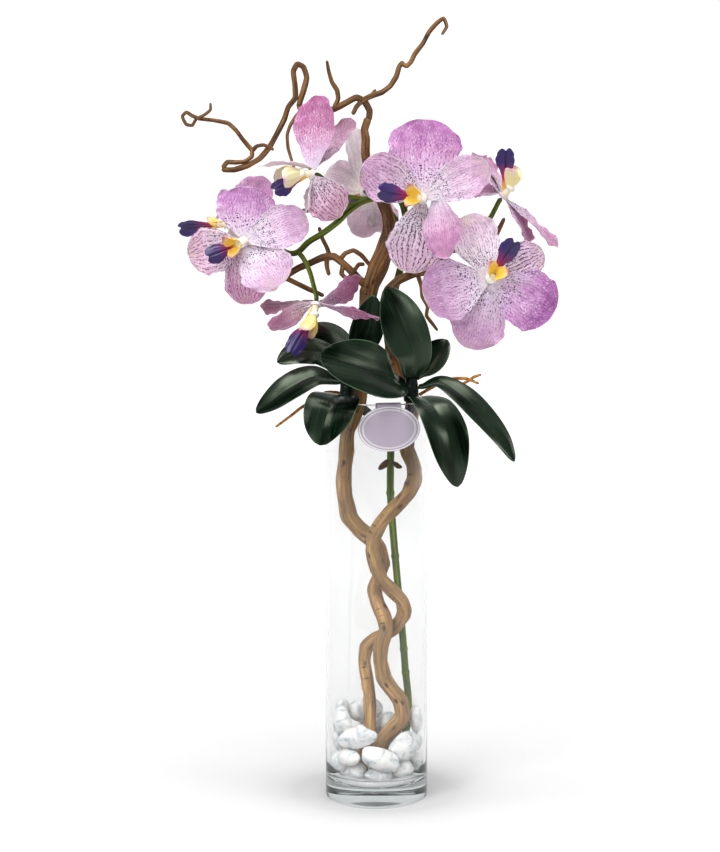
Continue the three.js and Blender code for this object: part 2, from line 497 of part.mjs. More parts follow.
/** The whole green plant body: stem, crowns, spike and pedicels. */
function orchidStem() {
  const pieces = [rod(STEM, 7, 16)];
  for (const [x, y, z] of STEM_NODES) {
    const ring = new THREE.SphereGeometry(4.6, 6, 3);
    ring.scale(1, 1, 0.6);
    pieces.push(ring.translate(x, y, z));
  }
  for (const arm of STEM_ARMS) pieces.push(rod(arm, 5, 4));
  for (const [x, y, z] of Object.values(CROWNS)) {
    const crown = new THREE.CylinderGeometry(CROWN.neck, CROWN.radius, CROWN.height, CROWN.sides, 1);
    crown.rotateX(Math.PI / 2);
    pieces.push(crown.translate(x, y, z + CROWN.height / 2));
  }
  const ends = {
    left: SPIKE[0],
    right: SPIKE[1],
    ...PEDICELS,
  };
  for (const [name, route] of Object.entries(ends)) {
    const end = pedicelEnd(BLOOMS[name]);
    const approach = end.clone()
      .addScaledVector(vector(BLOOMS[name].facing).normalize(), -4);
    const radius = route.at(-1)[3];
    const whole = [...route, [...approach.toArray(), radius], [...end.toArray(), radius]];
    pieces.push(rod(whole, 5, Math.ceil(whole.length * 0.8)));
  }
  return fuse(pieces);
}
add('orchid_stem', orchidStem(), stemGreen);

// ---------------------------------------------------------------- leaves
// Strap leaves with a keel. Each starts just clear of its crown, at a bearing and a
// height, and follows its stations; faces are the ways its upper side looks at the
// base and at the tip.
const LEAVES = {
  right_front: {
    crown: 'right', bearing: 215, height: 416, width: 58, fold: 0.12,
    spine: [[12, -42, 425], [-14, -60, 436], [-36, -70, 443], [-55, -76, 449]],
    faces: [[0, -0.8, 0.6], [0.1, -0.9, 0.45]],
  },
  right_up: {
    crown: 'right', bearing: 268, height: 424, width: 44, fold: 0.15, rise: 1.5,
    spine: [[36, -29, 446], [29, -28, 468], [20, -24, 490], [9, -19, 512]],
    faces: [[0, -1, -0.4], [0, -1, 0]],
  },
  right_side_up: {
    crown: 'right', bearing: 20, height: 421, width: 34, fold: 0.2, rise: 1, turning: 0.5,
    spine: [[50, -10, 431], [60, -8, 446], [70, -8, 460]],
    faces: [[-0.7, -0.2, 0.7], [-0.5, -1, 0.3]],
  },
  right_drooping: {
    crown: 'right', bearing: 340, height: 414, width: 28, fold: 0.2,
    spine: [[61, -25, 419], [81, -35, 408], [101, -42, 389], [120, -46, 366], [133, -48, 344]],
    faces: [[0, -0.6, 1], [0.4, -0.9, 0.5]],
  },
  right_hanging: {
    crown: 'right', bearing: 286, height: 403.5, width: 42, fold: 0.1,
    spine: [[44, -43, 405], [54, -61, 398], [66, -71, 376], [72, -73, 350], [77, -71, 322]],
    faces: [[0, 0, 1], [0.2, -1, 0]],
  },
  left_side: {
    crown: 'left', bearing: 205, height: 420, width: 33, fold: 0.15,
    spine: [[-60, -27, 425], [-85, -36, 414], [-102, -40, 402], [-117, -43, 391]],
    faces: [[0, -0.7, 1], [-0.3, -0.9, 0.5]],
  },
  left_hanging: {
    crown: 'left', bearing: 262, height: 405, width: 50, fold: 0.1,
    spine: [[-35, -42, 406], [-44, -61, 399], [-51, -68, 382], [-55, -69, 362]],
    faces: [[0, 0, 1], [0, -1, 0]],
  },
  left_far: {
    crown: 'left', bearing: 178, height: 433, width: 30, fold: 0.15,
    spine: [[-56, -6, 446], [-78, -6, 447], [-98, -8, 438]],
    faces: [[0, -0.9, 0.8], [0, -0.95, 0.5]],
  },
  left_back: {
    crown: 'left', bearing: 110, height: 436, width: 44, fold: 0.1,
    spine: [[-41, 7, 450], [-54, 17, 459], [-66, 22, 457], [-79, 24, 448]],
    faces: [[0, -0.7, 0.8], [0, -0.9, 0.5]],
  },
  left_up: {
    crown: 'left', bearing: 338, height: 431, width: 34, fold: 0.08, rise: 1.5, turning: 0.4,
    spine: [[-18, -14, 450], [-10, -11, 470], [-6, -9.6, 488], [-3, -9.4, 504]],
    faces: [[0.8, -0.3, -0.4], [0, -1, 0]],
  },
};
const LEAF = { across: 4, along: 7, claw: 0.3, broadest: 0.5, collar: 5, rise: 0.1 };

function leafOutline(v) {
  const { claw, broadest } = LEAF;
  if (v < broadest) return claw + (1 - claw) * Math.sin((Math.PI / 2) * (v / broadest));
  return (1 - ((v - broadest) / (1 - broadest)) ** 2 * 0.94) ** 0.75;
}

/** A place beside a crown at a bearing and height, a little clear of its surface. */
function besideCrown({ crown, bearing, height }, away) {
  const [x, y, z] = CROWNS[crown];
  const taper = (CROWN.radius - CROWN.neck) * Math.min((height - z) / CROWN.height, 1);
  const angle = THREE.MathUtils.degToRad(bearing);
  const out = CROWN.radius - taper + CLEARANCE + away;
  return [x + out * Math.cos(angle), y + out * Math.sin(angle), height];
}

function leafSurface({
  crown, bearing, height, spine, faces, width, fold, rise = LEAF.rise, turning = 1,
}) {
  const start = { crown, bearing, height };
  const lean = rise / Math.hypot(1, rise); // a rising leaf's square end leans to the crown
  const out = LEAF.collar / Math.hypot(1, rise);
  const collar = { ...start, height: height + out * rise };
  const curve = line([
    besideCrown(start, 0.2 + 0.5 * LEAF_THICKNESS * lean), besideCrown(collar, out), ...spine]);
  return (u, v) => {
    const ahead = curve.getTangentAt(v);
    const up = vector(faces[0]).lerp(vector(faces[1]), v ** turning);
    up.addScaledVector(ahead, -up.dot(ahead)).normalize();
    const half = (width / 2) * leafOutline(v);
    return curve.getPointAt(v).addScaledVector(ahead.cross(up), half * u)
      .addScaledVector(up, fold * half * Math.abs(u));
  };
}
for (const [name, leaf] of Object.entries(LEAVES)) {
  add(`leaf_${name}`, blade(leafSurface(leaf), LEAF.across, LEAF.along, LEAF_THICKNESS), leafGreen);
}

// ---------------------------------------------------------------- aerial roots
const ROOT_END = 0.5; // its square end stands this much further off the round crown
const ROOTS = {
  right: {
    crown: 'right', bearing: 19, height: 406, radius: 2,
    main: [[52, -8, 412, 1.6], [63, -8, 418, 1.6], [76, -8, 422, 1.6], [88, -8, 422, 1.5],
      [101, -8, 417, 1.2]],
    fork: [[70, -8, 420, 1.4], [82, -10, 416, 1.4], [90, -10, 420, 1.4], [96, -9, 424, 1.4],
      [103, -9, 426, 1.1]],
  },
  left: {
    crown: 'left', bearing: 156, height: 408, radius: 2,
    main: [[-50, -6, 408, 1.6], [-62, -5, 401, 1.6], [-75, -6, 393, 1.5], [-85, -7, 385, 1.5],
      [-93, -8, 379, 1.4], [-100, -8, 374, 1.1]],
  },
};
for (const [name, root] of Object.entries(ROOTS)) {
  const main = [[...besideCrown(root, ROOT_END), root.radius], ...root.main];
  const routes = root.fork ? [main, root.fork] : [main];
  add(`aerial_root_${name}`, fuse(routes.map((route) => rod(route, 5, route.length + 3))), rootBrown);
}

// ---------------------------------------------------------------- hang card
// An oval card against the glass whose tab folds over the rim and down inside.
function hangCard() {
  const { width, height, thickness, neck, tab, tabDrop } = CARD;
  const inside = (VASE.radius - VASE.wall - CLEARANCE) * Math.cos(Math.PI / VASE.sides);
  const front = -(VASE.radius + CLEARANCE + thickness);
  const back = -Math.sqrt(inside ** 2 - (tab / 2) ** 2) + thickness;
  const top = VASE.height + CLEARANCE + thickness;
  const middle = top - neck - height / 2;
  const oval = new THREE.Shape().absellipse(0, 0, width / 2, height / 2, 0, 2 * Math.PI);
  const face = new THREE.ExtrudeGeometry(oval, { depth: thickness, bevelEnabled: false, curveSegments: 20 });
  face.rotateX(Math.PI / 2).translate(0, front + thickness, middle);
  const hook = new THREE.Shape([
    [front, middle], [front, top], [back, top], [back, top - tabDrop],
    [back - thickness, top - tabDrop], [back - thickness, top - thickness],
    [front + thickness, top - thickness], [front + thickness, middle],
  ].map(([y, z]) => new THREE.Vector2(y, z)));
  const strip = new THREE.ExtrudeGeometry(hook, { depth: tab, bevelEnabled: false });
  strip.applyMatrix4(new THREE.Matrix4().set(0, 0, 1, -tab / 2, 1, 0, 0, 0, 0, 1, 0, 0, 0, 0, 0, 1));
  return fuse([face, strip]).rotateZ(THREE.MathUtils.degToRad(CARD.bearing));
}
add('hang_card', hangCard(), cardLilac);

// ---------------------------------------------------------------- pebbles
// Tumbled marble pebbles on the vase floor. Each in turn goes to the free place nearest
// to the wanted one, with depth counting for less, and is let down until it touches.
const PEBBLES = [
  // width, height, depth, wanted place along X, Y and Z, tilt in degrees
  [24, 22, 17, -23, -29, 28, 0],
  [28, 19, 17, 3, -33, 27, -10],
  [24, 22, 17, 26, -28, 29, 25],
  [32, 24, 22, 2, 30, 29, 10],
  [28, 24, 22, -28, 20, 31, -20],
  [22, 20, 17, 28, 18, 32, 20],
  [20, 24, 20, -38, 0, 36, 0],
  [16, 22, 16, 38, 2, 34, 0],
  [28, 17, 15, -31, -24, 45, 5],
  [40, 22, 16, 1, -39, 46, -20],
  [35, 27, 18, 28, -28, 57, 35],
  [42, 21, 16, -16, -37, 63, 14],
  [40, 28, 22, -5, 32, 56, -8],
  [22, 22, 17, 30, 20, 52, 10],
  [26, 32, 22, -35, 10, 60, 10],
  [20, 20, 16, 13, -18, 50, 0],
  [23, 32, 16, -34, -22, 76, 10],
  [18, 16, 14, -18, -17, 72, 0],
  [40, 26, 22, -12, 29, 86, 0],
  [22, 22, 18, 9, 26, 77, 20],
  [20, 20, 15, 39, 4, 54, 0],
  [18, 26, 14, 40, 8, 76, 0],
  [18, 24, 16, -38, 14, 90, -20],
];
const PEBBLE = { unevenness: 0.1, gap: 0.35, step: 0.25, nudge: 14, grid: 2, top: 130 };

/** A seeded stream of numbers from 0 to 1. */
function stream(seed) {
  let state = seed;
  return () => {
    state = (state * 1664525 + 1013904223) % 4294967296;
    return state / 4294967296;
  };
}
const draw = stream(2977);

/** A rounded stone of three sizes, uneven by a few parts in a hundred, and turned. */
function stone(width, depth, height, turn) {
  const ball = weld(new THREE.IcosahedronGeometry(1, 1));
  const place = ball.attributes.position;
  for (let i = 0; i < place.count; i += 1) {
    const swell = 1 + PEBBLE.unevenness * (draw() - 0.5);
    place.setXYZ(i, place.getX(i) * swell, place.getY(i) * swell, place.getZ(i) * swell);
  }
  ball.scale(width / 2, depth / 2, height / 2);
  return ball.applyQuaternion(new THREE.Quaternion().setFromEuler(turn));
}

/** What a stone may touch: points whose hull is rounded by a radius, and their bounds. */
function obstacle(points, radius = 0) {
  const bounds = new THREE.Box3().setFromPoints(points).getBoundingSphere(new THREE.Sphere());
  return { points, radius, middle: bounds.center, reach: bounds.radius + radius };
}

/** A safe low figure for the gap between two hulls, from planes that part them. */
function gapBetween(first, second) {
  const furthest = (points, way) => points.reduce((best, p) => (p.dot(way) > best.dot(way) ? p : best));
  const nearest = first.points[0].clone().sub(second.points[0]);
  let parted = 0;
  for (let turn = 0; turn < 20; turn += 1) {
    const next = furthest(first.points, nearest.clone().negate()).clone()
      .sub(furthest(second.points, nearest));
    parted = Math.max(parted, nearest.dot(next) / nearest.length());
    const along = next.sub(nearest);
    if (along.lengthSq() < 1e-8) break;
    nearest.addScaledVector(along, THREE.MathUtils.clamp(-nearest.dot(along) / along.lengthSq(), 0, 1));
    if (nearest.lengthSq() < 1e-6) break;
  }
  return parted - first.radius - second.radius;
}

const FACET_ALLOWANCE = 0.5; // the flat facets of the cavity's round edge stand in by less

/** Radius of the cavity at a height above the foot. */
function cavityRadius(z) {
  const { radius, wall, base, cavityFillet } = VASE;
  const straight = (radius - wall) * Math.cos(Math.PI / VASE.sides);
  const below = base + cavityFillet - z;
  if (below <= 0) return straight;
  const bend = cavityFillet - FACET_ALLOWANCE;
  if (below > bend) return 0;
  return straight - cavityFillet + Math.sqrt(bend ** 2 - below ** 2);
}

const taken = [];
for (const route of [BRANCH_A, BRANCH_B, STEM]) {
  for (const along of line(route).getSpacedPoints(240)) {
    if (along.z < PEBBLE.top) taken.push(obstacle([along], route[0][3] * BRANCH_GIRTH + 0.3));
  }
}

function fits(points) {
  const roomy = points.every((p) =>
    p.z > VASE.base + PEBBLE.gap && Math.hypot(p.x, p.y) < cavityRadius(p.z) - PEBBLE.gap);
  if (!roomy) return false;
  const here = obstacle(points);
  return taken.every((other) =>
    here.middle.distanceTo(other.middle) > here.reach + other.reach + PEBBLE.gap
    || gapBetween(here, other) > PEBBLE.gap);
}

const pointsOf = ({ attributes: { position } }) =>
  Array.from({ length: position.count }, (_, i) => new THREE.Vector3().fromBufferAttribute(position, i));

/** Does a stone fit at a place? */
const fitsAt = (home, place) => fits(home.map((p) => p.clone().add(place)));

/** The place nearest to the wanted one, with depth counting for less, where a stone fits. */
function nearestFree(home, wanted) {
  const { nudge, grid } = PEBBLE;
  const nudges = [];
  for (let dx = -nudge; dx <= nudge; dx += grid) {
    for (let dy = -nudge; dy <= nudge; dy += grid) {
      for (let dz = -nudge; dz <= nudge; dz += grid) {
        nudges.push({ way: new THREE.Vector3(dx, dy, dz), cost: Math.hypot(dx, dy / 2, dz) });
      }
    }
  }
  nudges.sort((a, b) => a.cost - b.cost);
  const found = nudges.find(({ way }) => fitsAt(home, wanted.clone().add(way)));
  return found && wanted.clone().add(found.way);
}

/** Lets a stone down from a place until it touches something. */
function rested(home, from) {
  const place = from.clone();
  const down = new THREE.Vector3(0, 0, -PEBBLE.step);
  while (fitsAt(home, place.clone().add(down))) place.add(down);
  return place;
}

PEBBLES.forEach(([width, height, depth, x, y, z, tilt], i) => {
  const alongGlass = y < 0 ? Math.atan2(x, -y) : Math.atan2(-x, y);
  const turn = new THREE.Euler(0.4 * (draw() - 0.5), -THREE.MathUtils.degToRad(tilt), alongGlass);
  const ball = stone(width, depth, height, turn);
  const name = `pebble_${String(i + 1).padStart(2, '0')}`;
  const place = nearestFree(pointsOf(ball), new THREE.Vector3(x, y, z));
  if (!place) throw new Error(`${name} finds no room`);
  ball.translate(...rested(pointsOf(ball), place));
  taken.push(obstacle(pointsOf(ball)));
  add(name, ball, marble);
});

export default part;
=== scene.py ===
import bpy
import numpy as np
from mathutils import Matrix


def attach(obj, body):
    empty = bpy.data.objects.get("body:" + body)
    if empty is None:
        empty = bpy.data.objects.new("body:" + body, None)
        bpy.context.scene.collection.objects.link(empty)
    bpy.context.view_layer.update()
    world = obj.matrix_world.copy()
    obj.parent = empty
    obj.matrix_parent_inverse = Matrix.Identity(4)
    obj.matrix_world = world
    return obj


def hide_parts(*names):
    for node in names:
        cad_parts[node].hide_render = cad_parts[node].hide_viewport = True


# A vanda orchid arranged in a tall clear glass cylinder with white pebbles and two
# contorted branches. Shapes are worked out in millimetres and stored in metres.
# The origin is the centre of the vase's foot, +Z is up and -Y is the front.
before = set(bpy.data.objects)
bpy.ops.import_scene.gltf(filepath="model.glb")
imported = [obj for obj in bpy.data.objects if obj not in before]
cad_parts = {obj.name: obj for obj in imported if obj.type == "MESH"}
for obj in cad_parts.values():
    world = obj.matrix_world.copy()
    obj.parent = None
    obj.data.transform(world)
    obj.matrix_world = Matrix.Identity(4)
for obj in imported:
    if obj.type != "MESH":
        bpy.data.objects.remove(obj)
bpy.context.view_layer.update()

# ------------------------------------------------------------------ studio
# A roll of white paper is the floor and curves up behind. The light is soft: a dim grey
# room, a softbox up on the left, a broad one overhead and a weak one on the right.
SOFTBOXES = {
    "softbox_left": ((-1.4, -1.9, 1.8), 1.1, 36),
    "softbox_over": ((0.0, -0.6, 2.3), 1.4, 36),
    "softbox_right": ((2.0, -1.0, 1.1), 0.7, 10)}
SOFTBOX_AIM, ROOM_LIGHT = (0, 0, 0.45), 0.2
EYE, EYE_DIP, LENS, SENSOR_WIDTH = (-0.0165, -2.0, 0.555), 5.16, 101.3, 36
# The sweep is flat to the back, goes up in a quarter circle and ends as a wall. It lies a
# fifth of a millimetre under the foot, so that glass and paper don't share a surface.
SWEEP_BEND, SWEEP_BACK, SWEEP_REACH, SWEEP_TOP, FLOOR_GAP = 1.8, 2.6, 9.0, 7.0, 0.0002


def linear(code):
    """sRGB hex as linear RGBA: c / 12.92 where dark, else ((c + 0.055) / 1.055) ** 2.4."""
    c = np.array([int(code[i:i + 2], 16) for i in (1, 3, 5)]) / 255
    return (*np.where(c <= 0.04045, c / 12.92, ((c + 0.055) / 1.055) ** 2.4), 1.0)


def node(tree, kind, inputs=(), **settings):
    """Adds one shader node, whose inputs are sockets to link or values to set."""
    made = tree.nodes.new("ShaderNode" + kind)
    for key, value in settings.items():
        setattr(made, key, value)
    for key, value in dict(inputs).items():
        if isinstance(value, bpy.types.NodeSocket):
            tree.links.new(value, made.inputs[key])
        else:
            made.inputs[key].default_value = value
    return made


def maths(operation, *values, **settings):
    """The result of an operation on one to three values, of which the first is a socket."""
    tree = values[0].id_data
    return node(tree, "Math", enumerate(values), operation=operation, **settings).outputs["Value"]


def span(value, low, high, start=0.0, stop=1.0):
    """A value carried in a straight line from low..high to start..stop, and held there."""
    return node(value.id_data, "MapRange", {
        "Value": value, "From Min": low, "From Max": high, "To Min": start, "To Max": stop}).outputs["Result"]


def split(vector):
    """The X, Y and Z of a vector."""
    return node(vector.id_data, "SeparateXYZ", {"Vector": vector}).outputs


def new_finish(name, **sockets):
    """A named material whose Principled sockets are set to plain values."""
    made = bpy.data.materials.new(name)
    made.use_nodes = True
    shader = made.node_tree.nodes["Principled BSDF"]
    for key, value in sockets.items():
        shader.inputs[key.replace("_", " ")].default_value = value
    return made, made.node_tree, shader


# Matt white paper. It glows as if lamps of its own lit it, more towards the back and not in
# front: painted light. It glows less round the vase's foot, a painted shadow where the vase
# would keep their light off it.
paper, tree, shader = new_finish(
    "matt_white_paper_sweep", Base_Color=linear("#dadada"), Roughness=0.9, Specular_IOR_Level=0.1,
    Emission_Color=linear("#ffffff"))
spot = node(tree, "TexCoord").outputs["Object"]
_, depth, _ = split(spot)
glow = span(depth, 0.0, 1.5, 0.18, 0.68)
away = node(tree, "VectorMath", {0: spot, 1: (0.0, 0.025, 0.0)}, operation="DISTANCE")
# Painted shadow: the glow fades out near the vase's foot.
fade = maths("MULTIPLY_ADD", away.outputs["Value"], -28.0, 1.5)
shade = maths("EXPONENT", fade, use_clamp=True)
shaded = maths("MULTIPLY_ADD", shade, -0.42, glow, use_clamp=True)
front = span(depth, -0.9, -0.25)
tree.links.new(maths("MULTIPLY", shaded, front), shader.inputs["Emission Strength"])

turn = np.radians(np.linspace(-90, 0, 25))
sweep_y = np.concatenate([[-SWEEP_REACH], SWEEP_BACK + SWEEP_BEND * np.cos(turn), [SWEEP_BACK + SWEEP_BEND]])
sweep_z = np.concatenate([[0], SWEEP_BEND + SWEEP_BEND * np.sin(turn), [SWEEP_TOP]]) - FLOOR_GAP
places = len(sweep_y)
sweep = np.stack(
    [np.repeat([-SWEEP_REACH, SWEEP_REACH], places), np.tile(sweep_y, 2), np.tile(sweep_z, 2)], -1)
strip = np.arange(places - 1)
sweep_faces = np.stack([strip, strip + places, strip + places + 1, strip + 1], -1)
sweep_mesh = bpy.data.meshes.new("paper_sweep")
sweep_mesh.from_pydata(sweep.tolist(), [], sweep_faces.tolist())
sweep_mesh.shade_smooth()
sweep_mesh.materials.append(paper)
backdrop = bpy.data.objects.new("paper_sweep", sweep_mesh)
bpy.context.collection.objects.link(backdrop)

room = bpy.data.worlds.new("grey_room")
room.use_nodes = True
room.node_tree.nodes["Background"].inputs["Color"].default_value = linear("#ffffff")
room.node_tree.nodes["Background"].inputs["Strength"].default_value = ROOM_LIGHT
bpy.context.scene.world = room
bpy.context.scene.view_settings.view_transform = "Standard"

for name, (place, size, power) in SOFTBOXES.items():
    lamp = bpy.data.lights.new(name, "AREA")
    lamp.size = size
    lamp.energy = power
    hung = bpy.data.objects.new(name, lamp)
    hung.location = place
    way = np.subtract(place, SOFTBOX_AIM)
    hung.rotation_euler = (np.arctan2(np.hypot(way[0], way[1]), way[2]), 0, np.arctan2(way[0], -way[1]))
    bpy.context.collection.objects.link(hung)

view = bpy.data.cameras.new("camera")
view.sensor_fit = "HORIZONTAL"
view.sensor_width = SENSOR_WIDTH
view.lens = LENS
camera = bpy.data.objects.new("camera", view)
camera.location = EYE
camera.rotation_euler = (np.radians(90 - EYE_DIP), 0, 0)
bpy.context.collection.objects.link(camera)
bpy.context.scene.camera = camera

# ------------------------------------------------------------------ vase
# A tall blown cylinder of clear soda-lime glass: a thick flat base, a rounded
# cavity floor, a shallow hollow under the foot and a fire-polished rim. It is one skin
# turned round the axis.
VASE_RADIUS, VASE_HEIGHT, VASE_WALL, VASE_BASE = 51.0, 400.0, 3.0, 17.0
CAVITY_FILLET, HEEL_FILLET, PUNT_DEPTH, PUNT_RADIUS = 22.0, 5.0, 3.0, 42.0
# Rings of the skin: along the outer wall, down the cavity's wall and on its floor.
OUTER_RINGS, CAVITY_RINGS, FLOOR_RINGS = (24, 376), (376, 64), (13.0, 2.0)


def unit(vectors):
    """Each vector divided by its length."""
    return vectors / np.linalg.norm(vectors, axis=-1, keepdims=True)


def tube_skin(rings, **fields):
    """Closed skin of a stack of rings (places, around, 3): four-sided faces between
    neighbouring rings, and each end a fan to the middle of its ring. A field holds
    three more values at every point and is averaged at the ends."""
    places, around = rings.shape[:2]
    count = places * around
    corner = np.arange(count).reshape(places, around)
    beside = np.roll(corner, -1, axis=1)
    sides = np.stack([corner[:-1], beside[:-1], beside[1:], corner[1:]], -1).reshape(-1, 4)
    fans = np.concatenate([
        np.stack([np.full(around, count), beside[0], corner[0]], -1),
        np.stack([np.full(around, count + 1), corner[-1], beside[-1]], -1)])
    ends = {key: np.stack([grid[0].mean(0), grid[-1].mean(0)]) for key, grid in fields.items()}
    return {
        "points": np.concatenate([rings.reshape(-1, 3), [rings[0].mean(0), rings[-1].mean(0)]]),
        "faces": [sides, fans],
        "fields": {key: np.concatenate([grid.reshape(-1, 3), ends[key]]) for key, grid in fields.items()}}


def outward(skin):
    """The skin with its faces pointing out: all are turned over where the volume, the
    sum of corner . (corner x corner) over the faces, comes out negative."""
    volume = 0.0
    for faces in skin["faces"]:
        a, b = skin["points"][faces[:, 0]], skin["points"][faces[:, 1]]
        for k in range(2, faces.shape[1]):
            c = skin["points"][faces[:, k]]
            volume += np.einsum("ij,ij->", a, np.cross(b, c))
            b = c
    if volume < 0:
        skin["faces"] = [faces[:, ::-1] for faces in skin["faces"]]
    return skin


def piece(name, skins, finish, nodes):
    """One smooth object from closed skins in millimetres. It rides on the root body,
    stands for the CAD nodes named and keeps the skins' fields as point attributes."""
    points, faces, start = [], [], 0
    for skin in map(outward, skins):
        points.append(skin["points"])
        for group in skin["faces"]:
            faces += (group + start).tolist()
        start += len(skin["points"])
    mesh = bpy.data.meshes.new(name)
    mesh.from_pydata((np.concatenate(points) / 1000).tolist(), [], faces)
    for key in skins[0]["fields"]:
        values = np.concatenate([skin["fields"][key] for skin in skins])
        mesh.attributes.new(key, "FLOAT_VECTOR", "POINT").data.foreach_set(
            "vector", values.astype(np.float32).ravel())
    mesh.shade_smooth()
    mesh.materials.append(finish)
    made = bpy.data.objects.new(name, mesh)
    bpy.context.collection.objects.link(made)
    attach(made, "root")
    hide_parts(*nodes)
    return made


def arc(x, z, radius, start, stop, steps):
    """Points of a circle about (x, z) from one angle in degrees to another."""
    angle = np.radians(np.linspace(start, stop, steps))
    return np.stack([x + radius * np.cos(angle), z + radius * np.sin(angle)], -1)


def circle(around):
    """So many even angles round a circle."""
    return np.linspace(0, 2 * np.pi, around, endpoint=False)


def turned(profile, around):
    """A profile of (radius, height) places turned round the Z axis."""
    angle = circle(around)
    return np.stack([
        profile[:, :1] * np.cos(angle), profile[:, :1] * np.sin(angle),
        np.repeat(profile[:, 1:], around, 1)], -1)


# Clear soda-lime glass, IOR 1.5, polished: its edges and its thick base gather the room
# into bands, which its faint grey-green body dims. It lets the lamps' rays straight
# through to what stands in it.
clear_glass, tree, shader = new_finish(
    "clear_soda_lime_glass", Base_Color=linear("#f8f8f8"), Roughness=0.0, Specular_IOR_Level=0.3, IOR=1.5,
    Transmission_Weight=1.0)
surface = tree.nodes["Material Output"].inputs
lamp_ray = node(tree, "LightPath").outputs["Is Shadow Ray"]
passed = node(tree, "BsdfTransparent").outputs["BSDF"]
glazed = node(tree, "MixShader", {0: lamp_ray, 1: shader.outputs["BSDF"], 2: passed})
tree.links.new(glazed.outputs["Shader"], surface["Surface"])
body = node(tree, "VolumeAbsorption", {"Color": linear("#ccd3d3"), "Density": 14.0})
tree.links.new(body.outputs["Volume"], surface["Volume"])

inside = VASE_RADIUS - VASE_WALL
half_rim = VASE_WALL / 2
vase_profile = np.concatenate([
    [[PUNT_RADIUS * t, PUNT_DEPTH * (1 - t ** 2) ** 1.5] for t in np.linspace(0.05, 0.98, 14)],
    [[PUNT_RADIUS, 0.0]],
    arc(VASE_RADIUS - HEEL_FILLET, HEEL_FILLET, HEEL_FILLET, -90, 0, 9),
    [[VASE_RADIUS, z] for z in np.linspace(*OUTER_RINGS, 12)],
    arc(VASE_RADIUS - half_rim, VASE_HEIGHT - half_rim, half_rim, 0, 180, 11),
    [[inside, z] for z in np.linspace(*CAVITY_RINGS, 12)],
    arc(inside - CAVITY_FILLET, VASE_BASE + CAVITY_FILLET, CAVITY_FILLET, 0, -90, 17),
    [[radius, VASE_BASE] for radius in FLOOR_RINGS]])
piece("glass_cylinder", [tube_skin(turned(vase_profile, 144))], clear_glass, ["vase"])

# ------------------------------------------------------------------ pebbles
# Tumbled white marble pebbles, smooth and matt, each rounded differently. They lie
# heaped on the cavity floor round the feet of the branches.
PEBBLE_SEED = 7
# The slow waves that swell a pebble: how fast each goes round and how high it is.
PEBBLE_WAVES = ((1.6, 0.06), (2.4, 0.05), (3.9, 0.022))


def pebble(points, draw):
    """A stone with the middle and main axes of some points: an ellipsoid, squared a little,
    whose radius is swelled by a few slow waves in the direction from its middle."""
    middle = points.mean(0)
    spread, axes = np.linalg.eigh(np.cov((points - middle).T, bias=True))
    polar, turn = np.meshgrid(np.linspace(0.06, np.pi - 0.06, 25), circle(40), indexing="ij")
    way = np.stack([np.sin(polar) * np.cos(turn), np.sin(polar) * np.sin(turn), np.cos(polar)], -1)
    swell = np.ones(polar.shape)
    for rate, height in PEBBLE_WAVES:
        swell += height * np.sin(rate * (way @ unit(draw.normal(size=3))) * 2 + draw.uniform(0, 6.3))
    squared = unit(np.sign(way) * np.abs(way) ** 0.86)
    rings = middle + (0.5 * (way + squared) * swell[..., None] * np.sqrt(3 * spread)) @ axes.T
    return tube_skin(rings)


def stretched(at, scale):
    """Places with each axis scaled by its own number."""
    return node(at.id_data, "Mapping", {"Vector": at, "Scale": scale}).outputs["Vector"]


def noise(at, scale, detail, roughness=0.5, distortion=0.0):
    """Noise in one scale, or in three that stretch it."""
    if isinstance(scale, tuple):
        at = stretched(at, scale)
        scale = 1.0
    return node(at.id_data, "TexNoise", {
        "Vector": at, "Scale": scale, "Detail": detail, "Roughness": roughness,
        "Distortion": distortion}).outputs["Fac"]


def ramp(value, *stops):
    """A colour ramp through (place, hex colour) stops."""
    made = node(value.id_data, "ValToRGB", {"Fac": value})
    elements = made.color_ramp.elements
    while len(elements) < len(stops):
        elements.new(0.5)
    for element, (place, colour) in zip(elements, stops):
        element.position = place
        element.color = linear(colour)
    return made.outputs["Color"]


def coat(tree, shader, colour, height, strength, distance):
    """Gives a finish its colour and its fine relief, a height times a distance in metres."""
    tree.links.new(colour, shader.inputs["Base Color"])
    relief = node(tree, "Bump", {"Height": height, "Strength": strength, "Distance": distance})
    tree.links.new(relief.outputs["Normal"], shader.inputs["Normal"])


# Tumbled Carrara marble, roughness 0.42: white with bluish-grey clouds 8 to 15 mm wide
# and a trace of cream, so each stone reads as one of a natural lot.
marble, tree, shader = new_finish("tumbled_white_marble", Roughness=0.42, Specular_IOR_Level=0.4)
spot = node(tree, "TexCoord").outputs["Object"]
cloud = noise(spot, 72.0, 8.0, 0.66, 1.0)
tone = ramp(cloud, (0.34, "#8f9a9f"), (0.44, "#c4c9cb"), (0.53, "#dfdfdd"), (0.75, "#e8e6e1"))
coat(tree, shader, tone, noise(spot, 320.0, 5.0), 0.22, 0.001)

draw = np.random.default_rng(PEBBLE_SEED)
for name in sorted(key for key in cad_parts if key.startswith("pebble_")):
    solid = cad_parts[name].data
    corners = np.empty(len(solid.vertices) * 3, np.float32)
    solid.vertices.foreach_get("co", corners)
    corners = np.unique(corners.reshape(-1, 3).round(6), axis=0) * 1000
    piece("white_" + name, [pebble(corners, draw)], marble, [name])

# ------------------------------------------------------------------ branches
# Two dried, peeled contorted-hazel branches stand on the cavity floor and twine past
# each other. Each is a tapering limb with knots and fluted grain, and its twigs are
# rooted in it. A station holds its place and its radius.
BRANCH_GIRTH, TWIG_GIRTH = 1.02, 0.92
# The waves that flute a limb: times round it, millimetres along it and height.
FLUTES = ((1, 47, 0.05), (2, 31, 0.045), (3, 63, 0.04), (5, 90, 0.022), (8, 140, 0.012))
KNOT_SPACING, KNOT_LENGTH, KNOT_TURN = 26, 2.8, 0.5
